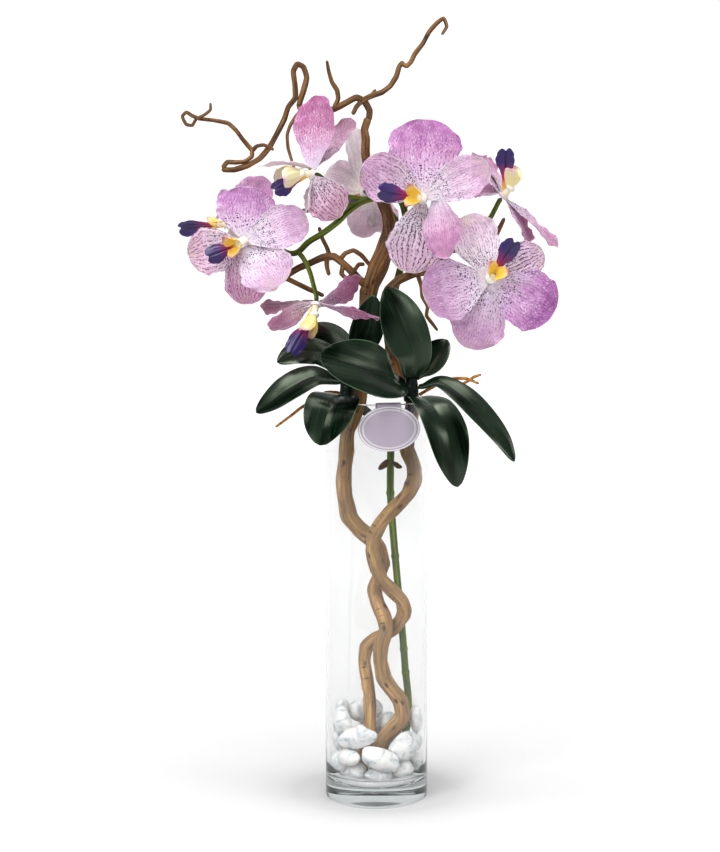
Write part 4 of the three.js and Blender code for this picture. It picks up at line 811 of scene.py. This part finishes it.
for name, (crown, bearing, height, routes) in ROOTS.items():
    x, y, z = CROWNS[crown]
    out = CROWN_RADIUS - (CROWN_RADIUS - CROWN_NECK) * (height - z) / CROWN_HEIGHT + TOUCH + 0.5
    start = [x + out * np.cos(np.radians(bearing)), y + out * np.sin(np.radians(bearing)), height, ROOT_FOOT]
    routes = [[start, *routes[0]], *routes[1:]]
    skins = [limb(route, ROOT_MESH, 70 + i, 1.4) for i, route in enumerate(routes)]
    piece("amber_root_" + name, skins, root_skin, ["aerial_root_" + name])

# ------------------------------------------------------------------ petals
# Each vanda bloom has three sepals and, in front of them, two petals: broad, thin,
# waved tepals that narrow to a claw at the hub.
TEPAL_CLAW, TEPAL_START, TEPAL_BROADEST, TEPAL_WAVES, TEPAL_MESH = 0.19, 4.0, 0.6, 1.6, (54, 33)
PETAL_THICKNESS, SEPAL_SET_BACK, HUB_RADIUS = 0.8, 1.5, 6.0
# A tepal: vector to its tip, the way its face looks, width, cup, wave, phase, curl,
# whether it is a petal, how pale it is (-1 for a brown-pink reverse), start shift and arch.
TEPALS = {
    "left": [
        ((3, 6, 54), (0, -1, 0.1), 58, 0.1, 3, 0.5, -5, False, 0.1),
        ((62, -4, 24), (-0.1, -1, 0.2), 44, 0.1, 3.5, 2, -4, True, 0.45),
        ((36, -16, -44), (0.1, -1, 0.2), 54, 0.15, 4, 1, 4, False, 0.55),
        ((2, 14, -62), (0, -1, -0.1), 42, 0.1, 3, 3, -5, False, 0.35),
        ((-54, 2, -14), (0, -1, 0), 46, 0.1, 3.5, 4, -6, True, 0.7)],
    "upper_left": [
        ((11, 8, 76), (-0.5, -0.85, 0), 46, 0.25, 4, 0, 4, False, 0.0),
        # This petal's paleness is partly painted light that lifts the shade the dorsal sepal casts on it.
        ((40, 22, 57), (-0.5, -0.8, 0.2), 30, 0.2, 4, 1, -4, True, 0.4),
        ((29, -8, -41), (-0.5, -0.85, -0.1), 46, 0.15, 4, 2, -4, False, 0.5),
        ((-4, 12, -43), (-0.9, -0.2, 0.3), 30, 0.1, 3, 3, 3, False, 0.9),
        ((-50, -14, 6), (0, 0.1, 1), 30, 0.05, 1.5, 4, 0, True, 0.8, (4, 0, 4), 5)],
    "back_left": [
        ((38, 16, 44), (-0.4, -0.9, 0), 40, 0.1, 3, 0, 4, False, 0.2),
        ((42, 34, 12), (-0.7, 0.7, 0), 42, 0.1, 3, 1, 4, True, 0.3),
        ((22, 30, -44), (-0.6, 0.7, -0.2), 42, 0.1, 3, 2, 4, False, 0.3),
        ((-2, 16, -48), (-0.8, 0.5, -0.3), 40, 0.1, 3, 3, 4, False, 0.3),
        ((-8, 46, 24), (-0.9, 0.1, 0.2), 40, 0.1, 3, 4, 4, True, 0.3)],
    # Its tepals at -0.8 are a dark brown-pink: partly their own colour, partly painted shade for a bloom that
    # faces down.
    "lower_left": [
        ((-54, 8, 4), (0.1, 0.3, -1), 36, 0.15, 3, 0, 4, True, -0.8),
        ((-43, -16, -22), (-0.2, -0.75, -0.65), 24, 0.1, 2.5, 1, -4, False, 0.2),
        ((46, 6, 26), (0.35, -0.6, -0.75), 34, 0.15, 3, 2, -4, True, -0.8),
        ((61, -20, -13), (0, -0.4, -0.9), 28, 0.1, 3, 3, -3, False, -0.8),
        ((-14, 46, 2), (0.1, 0.35, -1), 34, 0.1, 3, 4, -2, False, -0.8, (0, -1, -1), 0)],
    "centre": [
        ((3, 8, 78), (0, -1, 0.1), 72, 0.08, 3.5, 0.4, -6, False, 0.05),
        ((-58, -2, 32), (-0.1, -1, 0), 48, 0.1, 3, 2, -4, True, 0.4),
        ((64, -6, 32), (0, -1, 0.1), 42, 0.1, 3.5, 1, -3, True, 0.5),
        ((27, -18, -58), (-0.5, -0.85, 0.1), 40, 0.25, 4.5, 3, 4, False, 0.2, (12, -1, 8), 0),
        ((-12, 4, -72), (0, -1, -0.1), 54, 0.1, 4, 4, -5, False, 0.75)],
    # The back bloom's tepals are pale: partly their own near-white colour, partly painted light that stands
    # in for light through them and lifts the shade they stand in.
    "back": [
        ((-10, 4, 64), (0, 1, 0), 24, 0.15, 3, 0, 4, False, 1.0),
        ((-40, 14, 18), (0.2, 1, 0), 40, 0.1, 3, 1, 2, True, 0.8),
        ((-2, 2, -46), (0, 1, 0.1), 32, 0.1, 3, 2, 2, False, 0.55),
        ((28, 4, -38), (-0.1, 1, 0), 32, 0.1, 3, 3, 4, False, 0.55),
        ((34, 12, 34), (-0.2, 1, 0), 38, 0.1, 3, 4, 4, True, 0.7)],
    "right": [
        ((-27, 8, 44), (0.75, -0.3, 0.55), 30, 0.1, 3, 0, -4, False, 0.1),
        ((-30, 7, 6), (0.3, -0.5, 0.9), 34, 0.1, 1.5, 1, -4, True, 0.2),
        ((30, 0, -43), (0.6, -0.45, 0.6), 28, 0.1, 3, 2, -5, False, 0.2),
        ((57, 10, -48), (0.62, -0.3, 0.72), 32, 0.1, 3, 3, -5, False, 0.2),
        ((-12, 34, 40), (0.75, -0.25, 0.6), 32, 0.1, 3, 4, -4, True, 0.2)],
    "lower_right": [
        ((-22, 6, 62), (0, -1, 0.1), 46, 0.1, 3, 0, -5, False, 0.85),
        ((52, 2, 26), (0, -1, 0), 38, 0.1, 3, 1, -4, False, 0.7),
        ((-64, -4, -18), (0, -1, 0), 60, 0.08, 4, 2, -5, True, 0.3),
        ((62, -4, -34), (0, -1, 0), 60, 0.08, 4, 3, -5, True, 0.0),
        ((-17, 6, -70), (0, -1, -0.1), 54, 0.1, 4, 4, -5, False, 0.4)]}
# How rosy each bloom or tepal is, from lilac at 0 to rose at 1.
ROSY = {
    "left": 0.1, "upper_left": 0.9, "back_left": 0.4, "lower_left": 1.0, "centre": 0.25, "back": 0.3,
    "right": 0.7, "lower_right": 0.1, ("centre", 3): 0.6, ("left", 4): 0.7, ("left", 3): 0.7}
# How strong the stripes of a striped tepal are. At -0.5 it has no specks, and at -1 no
# net of cells either.
STRIPED = {
    ("left", 4): 0.9, ("left", 3): 0.8, ("upper_left", 2): 1.0, ("upper_left", 1): 0.4,
    ("upper_left", 0): -0.5, ("centre", 1): 0.6, ("centre", 4): 1.1, ("centre", 3): -1.0,
    # The lower right bloom's second tepal is striped strongly: partly its own stripes, partly painted shade
    # for its tilt.
    ("lower_right", 1): 1.3, ("lower_right", 0): 0.3, ("right", 2): 0.6}


def square_to(ahead, way):
    """The part of a way that is square to another, made one long."""
    return unit(way - ahead * (way @ ahead))


def tepal(base, tip, face, width, cup, wave, phase, curl, arch, rows, cols, notch=0.0, fiddle=False):
    """A waved tepal. Half its width grows as a sine to the power 1.15 up to the broadest
    place and ends round, or for a fiddle shape stays narrow for a third and then broadens
    to a blunt end, which may be notched. The surface lifts by curl v^2, arch sin(pi v),
    cup times half the width times u^2, a quilting, and a ruffle and a finer frill at the
    edges. Gives the surface, u, v, half the width and the length."""
    run = np.asarray(tip, float)
    ahead = unit(run)
    up = square_to(ahead, face)
    side = np.cross(ahead, up)
    along = 1 - (1 - np.linspace(0, 1, rows)) ** 1.6
    v, u = np.meshgrid(along, np.sin(np.linspace(-np.pi / 2, np.pi / 2, cols)), indexing="ij")
    grow = TEPAL_CLAW + (1 - TEPAL_CLAW) * np.sin(np.pi / 2 * np.minimum(v / TEPAL_BROADEST, 1)) ** 1.15
    fall = np.sqrt(1 - 0.985 * (np.maximum(v - TEPAL_BROADEST, 0) / (1 - TEPAL_BROADEST)) ** 2)
    half = width / 2 * np.where(v < TEPAL_BROADEST, grow, fall)
    if fiddle:
        swell = np.sin(np.pi / 2 * np.clip((v - 0.3) / 0.45, 0, 1)) ** 2
        blunt = np.sqrt(1 - 0.5 * (np.maximum(v - 0.8, 0) / 0.2) ** 2)
        half = width / 2 * (0.4 + 0.6 * swell) * blunt
    lobed = 0.04 * np.sin(2 * np.pi * 2.7 * v + phase * 2 + (u > 0) * 1.7)
    lobed = lobed + 0.022 * np.sin(2 * np.pi * 6.1 * v + phase * 3 + (u > 0) * 2.3)
    half = half * (1 + lobed * np.minimum(v * 2, 1))
    edge = np.abs(u)
    ruffle = wave * edge ** 1.5 * v * np.sin(2 * np.pi * TEPAL_WAVES * v + phase + np.where(u > 0, 0, 2))
    frill = 0.42 * wave * edge ** 5 * v * np.sin(2 * np.pi * 5.1 * v + 3 * phase + np.where(u > 0, 0, 1))
    quilt = (1.8 * np.sin(u * 13 + phase) - 2.0 * np.exp(-(u / 0.07) ** 2)) * v * (1 - v)
    lift = curl * v ** 2 + arch * np.sin(np.pi * v) + cup * half * u ** 2 + ruffle + frill + quilt
    reach = v - notch * (np.exp(-(u / 0.3) ** 2) + u ** 4) * v ** 4
    middle = base + run * reach[..., None] + side * (half * u)[..., None] + up * lift[..., None]
    return middle, u, v, half, np.linalg.norm(run)


def tepal_skin(spot, facing, shape, rosy, striped, seed):
    """One tepal of a bloom as a closed blade, thinner at its rim. Its fields hold places
    across and along it with 1 on the reverse, the same in millimetres, and its tints."""
    tip, face, width, cup, wave, phase, curl, is_petal, pale, *more = shape
    shift, arch = more or ((0, 0, 0), 0)
    tip = np.asarray(tip, float)
    set_back = 1 if is_petal else 1 + SEPAL_SET_BACK
    claw = np.asarray(shift) + square_to(facing, tip) * TEPAL_START - facing * set_back
    middle, u, v, half, length = tepal(
        spot + claw, tip - claw, np.asarray(face, float), width, cup, wave, phase, curl, arch, *TEPAL_MESH)
    thickness = PETAL_THICKNESS * (1 - 0.6 * np.abs(u) ** 4) * (1 - 0.6 * v ** 8)
    petal = np.stack([u, v, np.zeros(u.shape)], -1)
    lengths = np.stack([half * u, length * v, np.full(u.shape, 31.0 * seed)], -1)
    tint = np.broadcast_to([pale, rosy, striped], petal.shape)
    skin = blade_skin(middle, thickness, petal=petal, lengths=lengths, tint=tint)
    skin["fields"]["petal"][u.size:, 2] = 1
    return skin


def spun(foot, ahead, reach, radius, around, beside):
    """Rings of the given radii, square to an axis, as far along it as they reach. The
    angle is counted from the way square to the axis and to beside."""
    side = unit(np.cross(ahead, beside))
    ring = ring_ways(side, np.cross(ahead, side), circle(around))
    return foot + ahead * reach[:, None, None] + radius[:, None, None] * ring


def hub_skin(spot, facing):
    """The blunt hub behind the tepals: a short taper turned round the facing axis."""
    t = np.linspace(0, 1, 9)
    radius = (HUB_RADIUS - 1 + t) * np.sqrt(np.clip(t * 4, 0.05, 1)) * 0.92
    rings = spun(spot, facing, -HUB_LENGTH * (1 - t), radius, 24, (0.2, 0.3, 0.9))
    blank = np.zeros(rings.shape)
    return tube_skin(rings, petal=blank, lengths=blank, tint=blank)


# Vanda tepals, velvety: cream at the claw, lilac to mauve outwards with a painted highlight
# along the rim, netted with 2 mm pale cells, lined with broken veins 3 mm apart that fan from
# the claw, and dotted with ink-violet specks near it. The reverse is a plainer dusty mauve.
petal_skin, tree, shader = new_finish(
    "velvety_lilac_tepal", Roughness=0.5, Specular_IOR_Level=0.35, Subsurface_Weight=0.35,
    Subsurface_Radius=(1.0, 0.6, 0.8), Subsurface_Scale=0.002, Sheen_Weight=0.1, Sheen_Roughness=0.4)
u, v, reverse = split(field(tree, "petal"))
pale, rosy, striped = split(field(tree, "tint"))
lengths = field(tree, "lengths")
# Ground colour along the tepal, with slow clouds 10 mm wide that shift it.
wander = noise(lengths, 0.11, 3.0)
along = maths("MULTIPLY_ADD", span(wander, 0.3, 0.7, -0.22, 0.22), v, v)
lilac = ramp(
    along, (0.0, "#f7f3e4"), (0.12, "#f3e9f0"), (0.3, "#dcc0dd"), (0.55, "#bd8abf"), (0.8, "#9f5fa5"),
    (1.0, "#8f4c95"))
rose = ramp(
    along, (0.0, "#f6efdf"), (0.12, "#f1dce6"), (0.3, "#ddb0ca"), (0.6, "#c580a8"), (0.85, "#ae5f90"),
    (1.0, "#a9628a"))
cream = ramp(
    along, (0.0, "#f6f2e0"), (0.25, "#f8f4f0"), (0.55, "#efdfea"), (0.8, "#dfc6d6"), (1.0, "#ebdcd4"))
ground = mixed(pale, mixed(rosy, lilac, rose), cream)
# A violet haze over the inner half, and pale cells with mauve between them, most clear
# half way out.
net = node(tree, "TexVoronoi", {
    "Vector": stretched(lengths, (0.62, 0.3, 1.0)), "Scale": 1.0, "Detail": 1.0},
    feature="DISTANCE_TO_EDGE")
cell = span(net.outputs["Distance"], 0.05, 0.24)
patch = noise(lengths, (0.16, 0.12, 1.3), 2.0)
netted = span(striped, -1.0, -0.5, 0.15)
lit = times(cell, span(patch, 0.36, 0.6, 0.12, 1.0), span(v, 0.35, 1.0, 1.0, 0.35), netted)
hazed = mixed(span(v, 0.12, 0.5, 0.34, 0.0), ground, "#a58bc9")
celled = mixed(lit, hazed, "#f6e6f5")
# Veins: a comb of lines across the tepal that fan with it, bent a little and broken up.
sway = maths("MULTIPLY_ADD", wander, 0.22, u)
line = span(maths("SINE", times(sway, 54.0)), 0.5, 0.95)
dash = noise(lengths, (0.5, 0.34, 1.0), 3.0, 0.6)
vein = times(line, span(dash, 0.47, 0.55), span(v, 0.5, 1.0, 0.85, 0.5))
veined = mixed(vein, celled, "#7b2d7c")
# Stripes on some tepals: a coarser comb, ink violet or, on rosy ones, wine red.
bars = maths("SINE", maths("MULTIPLY_ADD", sway, 33.0, times(dash, 5.0)))
bar = times(span(dash, 0.44, 0.52, 0.0, 0.9), span(bars, 0.4, 0.8))
stripe = maths("MULTIPLY", bar, striped, use_clamp=True)
lined = mixed(stripe, veined, mixed(rosy, "#471c4f", "#8c2450"))
# Specks 1 mm wide in rows that fan from the claw, on the inner half, crowded in some
# places and sparse in others.
_, far, lot = split(lengths)
rows, down = times(sway, 10.0), times(far, 0.48)
speck_at = node(tree, "CombineXYZ", {"X": rows, "Y": down, "Z": lot}).outputs["Vector"]
specks = node(tree, "TexVoronoi", {"Vector": speck_at, "Scale": 1.0, "Randomness": 0.7})
crowd = span(patch, 0.34, 0.56, 0.26, 0.52)
near = span(maths("SUBTRACT", crowd, v), -0.06, 0.12)
speck = times(
    span(specks.outputs["Distance"], 0.3, 0.42, 1.0, 0.0), near, span(v, 0.08, 0.15),
    span(striped, -0.5, 0.0))
dotted = mixed(speck, lined, "#2d1157")
# The painted highlight along the rim, and the reverse.
edge = maths("MAXIMUM", times(maths("ABSOLUTE", u), v), maths("POWER", v, 10.0))
rim_highlighted = mixed(span(edge, 0.86, 0.98, 0.0, 0.8), dotted, "#f6e9f4")
fair = span(pale, -1.0, 1.0)
dusty = ramp(fair, (0.0, "#744350"), (0.5, "#c39bb4"), (0.85, "#f1e2e9"), (1.0, "#fff9f8"))
creamed = mixed(span(v, 0.05, 0.4, 0.8, 0.0), dusty, "#efe6d4")
behind = mixed(times(lit, 0.6), creamed, "#f0dde8")
behind = mixed(times(vein, 0.5), behind, "#8d4a78")
whole = mixed(times(reverse, 0.8), rim_highlighted, behind)
coat(tree, shader, whole, maths("SUBTRACT", cell, line), 0.3, 0.0006)

for number, (name, shapes) in enumerate(TEPALS.items()):
    spot, facing = np.array(FACING[name], float)
    facing = unit(facing)
    skins = []
    for i, shape in enumerate(shapes):
        tints = ROSY.get((name, i), ROSY[name]), STRIPED.get((name, i), 0.0)
        skins.append(tepal_skin(spot, facing, shape, *tints, 6 * number + i))
    skins.append(hub_skin(spot, facing))
    piece("tepals_" + name, skins, petal_skin, ["bloom_" + name])

# ------------------------------------------------------------------ columns and lips
# In each bloom's middle stand the waxy column with its round anther cap and the lip: a
# long indigo midlobe, grooved and notched, and two short yellow side lobes that cup
# the column.
LIPS = {
    "left": (-34, -14, -15), "upper_left": (-33, -12, -18), "back_left": (-48, 5, -6),
    "lower_left": (-24, -12, -44), "centre": (-44, -15, 7), "back": (-16, 22, -16),
    "right": (-2, -5, 43), "lower_right": (23, -17, 38)}
# The way a midlobe's face looks, where it isn't the way the bloom faces.
LIP_FACES = {"upper_left": (-0.2, -1, 0.3), "lower_left": (0.1, -1, 0.2), "right": (0.15, -1, 0.1)}
# How creamy the side lobes of a bloom are, and how many times the usual size.
EARS = {"upper_left": (1.0, 1.6), "right": (0.85, 1.3), "lower_left": (0.45, 1.2), "back_left": (0.3, 0.8)}
PLAIN_EAR = (0.1, 1.15)
LIP_THICKNESS, LIP_MESH = 1.1, (40, 25)
MIDLOBE_WIDTH, EAR_WIDTH = 18.5, 13
# The column with its anther cap, as places of (radius, height).
COLUMN = np.array([
    [3.9, 0], [3.7, 1.5], [3.3, 4], [3.2, 6], [3.5, 6.8], [5, 8], [5.1, 9.2], [4.5, 10.6], [3.1, 11.7],
    [1.25, 12.15]])


def lip_blade(kind, cream, base, tip, face, width, cup, wave, phase, curl, notch=0.0, keel=0.0):
    """One lobe of the lip: a tepal, or for the midlobe, kind 0, a fiddle shape with a
    notched end and two keels beside a groove. Its fields hold places across and along
    with the kind of lobe, and how creamy it is."""
    middle, u, v, _, _ = tepal(base, tip, face, width, cup, wave, phase, curl, 0, *LIP_MESH, notch, kind == 0)
    up = square_to(unit(tip), face)
    keels = np.exp(-((np.abs(u) - 0.22) / 0.1) ** 2) - 0.8 * np.exp(-(u / 0.09) ** 2)
    middle = middle + up * (keel * keels * np.sin(np.pi * v) ** 0.5)[..., None]
    lobe = np.stack([u, v, np.full(u.shape, kind)], -1)
    return blade_skin(
        middle, LIP_THICKNESS * (1 - 0.5 * np.abs(u) ** 4), lobe=lobe, creamy=np.full(lobe.shape, cream))


def column_skin(foot, ahead):
    """The column's profile with its corners rounded by a moving mean of five, turned round
    the bloom's axis."""
    t = np.linspace(0, len(COLUMN) - 1, 46)
    radius, reach = (np.interp(t, np.arange(len(COLUMN)), values) for values in COLUMN.T)
    radius = np.convolve(np.pad(radius, 2, "edge"), np.full(5, 0.2), "valid")
    rings = spun(foot, ahead, reach, radius, 32, (0.1, 0.2, 0.95))
    share = np.broadcast_to((reach / reach[-1])[:, None], rings.shape[:2])
    lobe = np.stack([np.zeros_like(share), share, np.full(share.shape, 2.0)], -1)
    return tube_skin(rings, lobe=lobe, creamy=np.ones(rings.shape))


# Waxy lip flesh, satin: the midlobe runs from yellow through magenta to deep indigo with
# a blackish groove, the side lobes are golden yellow or cream with a magenta flush at
# the end, and the column is ivory.
lip_skin, tree, shader = new_finish(
    "waxy_indigo_lip", Roughness=0.33, Subsurface_Weight=0.08, Subsurface_Scale=0.001)
u, v, kind = split(field(tree, "lobe"))
indigo = ramp(
    v, (0.0, "#f2c832"), (0.2, "#eda03c"), (0.32, "#b82d5c"), (0.5, "#7a1f66"), (0.68, "#352062"),
    (1.0, "#2a1b5a"))
groove = times(span(maths("ABSOLUTE", u), 0.03, 0.13, 0.85, 0.0), span(v, 0.25, 0.45))
gold = ramp(
    v, (0.0, "#f6ecc4"), (0.3, "#f7d84f"), (0.62, "#f5c32c"), (0.82, "#f4d27c"), (1.0, "#c45a78"))
ivory = ramp(
    v, (0.0, "#f7efd0"), (0.4, "#f6ecb4"), (0.7, "#f4e8b8"), (0.92, "#f1dfc8"), (1.0, "#dfb0cc"))
post = ramp(v, (0.0, "#efe0b0"), (0.5, "#f4eed8"), (1.0, "#f8f5ea"))
ear = mixed(field(tree, "creamy", "Fac"), gold, ivory)
lobes = mixed(maths("GREATER_THAN", kind, 0.5), mixed(groove, indigo, "#0f0826"), ear)
whole = mixed(maths("GREATER_THAN", kind, 1.5), lobes, post)
tree.links.new(whole, shader.inputs["Base Color"])

for name, lip in LIPS.items():
    spot, ahead = np.array(FACING[name], float)
    ahead = unit(ahead)
    lip = np.asarray(lip, float)
    foot = spot + ahead * 0.4
    side = np.cross(ahead, square_to(ahead, lip))
    looks = unit(np.asarray(LIP_FACES.get(name, ahead), float))
    cream, grown = EARS.get(name, PLAIN_EAR)
    midlobe = lip_blade(0.0, 0.0, foot + ahead * 3, lip, looks, MIDLOBE_WIDTH, -0.3, 0.8, 1, 2, 0.07, 1.6)
    skins = [midlobe, column_skin(foot, ahead)]
    for way in (1, -1):
        tip = (lip * 0.26 + ahead * 7.5 + side * 9.5 * way) * grown
        face = ahead * 0.4 - side * way
        skins.append(lip_blade(1.0, cream, foot + ahead * 5.4, tip, face, EAR_WIDTH * grown, 0.5, 0.5, 2, 0))
    piece("lip_" + name, skins, lip_skin, [f"bloom_{name}_lip"])

# ------------------------------------------------------------------ hang card
# A smooth oval card of lilac-grey board with plain white rings printed round it. Its
# tab is folded over the glass rim.
CARD_WIDTH, CARD_HEIGHT, CARD_THICKNESS, CARD_BEARING = 62.0, 44.0, 0.8, 13.0
CARD_NECK, TAB_WIDTH, TAB_DROP, TAB_BEND, TAB_LAP = 3.0, 24.0, 9.0, 1.2, 14
# The printed rings: how far out and half how wide, of the card's own radius.
CARD_RINGS = ((0.955, 0.022), (0.86, 0.009), (0.825, 0.009))


def card_skins():
    """The oval is a flat disc with a rounded edge, and the tab is a strip carried along a
    path over the rim; both are turned about the vase's axis to the card's bearing.
    The field holds across and up from the oval's middle."""
    half = CARD_THICKNESS / 2
    front = -(VASE_RADIUS + TOUCH + CARD_THICKNESS)
    top = VASE_HEIGHT + TOUCH + CARD_THICKNESS
    centre = top - CARD_NECK - CARD_HEIGHT / 2
    bead = np.radians(np.linspace(-90, 90, 7))
    inset = np.concatenate([[0.02, 0.4, 0.8], 1 - 0.012 * (1 - np.cos(bead)), [0.8, 0.4, 0.02]])[:, None]
    depth = np.concatenate([[-1, -1, -1], np.sin(bead), [1, 1, 1]])[:, None] * half
    a = circle(120)
    x = CARD_WIDTH / 2 * inset * np.cos(a)
    z = CARD_HEIGHT / 2 * inset * np.sin(a)
    y = half + depth * np.ones_like(a)
    face = tube_skin(np.stack([x, y + front, z + centre], -1), board=np.stack([x, z, y], -1))
    back = 1.0 - np.sqrt((VASE_RADIUS - VASE_WALL - TOUCH) ** 2 - (TAB_WIDTH / 2) ** 2)
    strip = [
        [0, front + half, centre + TAB_LAP], [0, front + half, top - half - TAB_BEND],
        [0, front + half + TAB_BEND, top - half], [0, back - half - TAB_BEND, top - half],
        [0, back - half, top - half - TAB_BEND], [0, back - half, top - TAB_DROP]]
    path, _, _ = smooth_path(strip, 0.5)
    across = np.linspace(-TAB_WIDTH / 2, TAB_WIDTH / 2, 25)
    middle = path[:, None] + across[:, None] * np.array([1.0, 0, 0])
    tab = blade_skin(middle, np.full(middle.shape[:2], CARD_THICKNESS), board=np.stack(
        [middle[..., 0], middle[..., 2] - centre, middle[..., 1] - front], -1))
    turn = np.radians(CARD_BEARING)
    swing = np.array([[np.cos(turn), np.sin(turn), 0], [-np.sin(turn), np.cos(turn), 0], [0, 0, 1]])
    for skin in (face, tab):
        skin["points"] = skin["points"] @ swing
    return [face, tab]


# Coated board, satin: lilac grey ink with fine white rings 1 mm and 0.5 mm wide.
board, tree, shader = new_finish("printed_lilac_board", Roughness=0.5)
fit = stretched(field(tree, "board"), (2 / CARD_WIDTH, 2 / CARD_HEIGHT, 0.0))
out = node(tree, "VectorMath", {0: fit}, operation="LENGTH").outputs["Value"]
inks = [maths("COMPARE", out, place, width) for place, width in CARD_RINGS]
ink = maths("MAXIMUM", maths("MAXIMUM", inks[0], inks[1]), inks[2])
tree.links.new(mixed(ink, "#bfb3c4", "#fbfafc"), shader.inputs["Base Color"])
piece("oval_card", card_skins(), board, ["hang_card"])
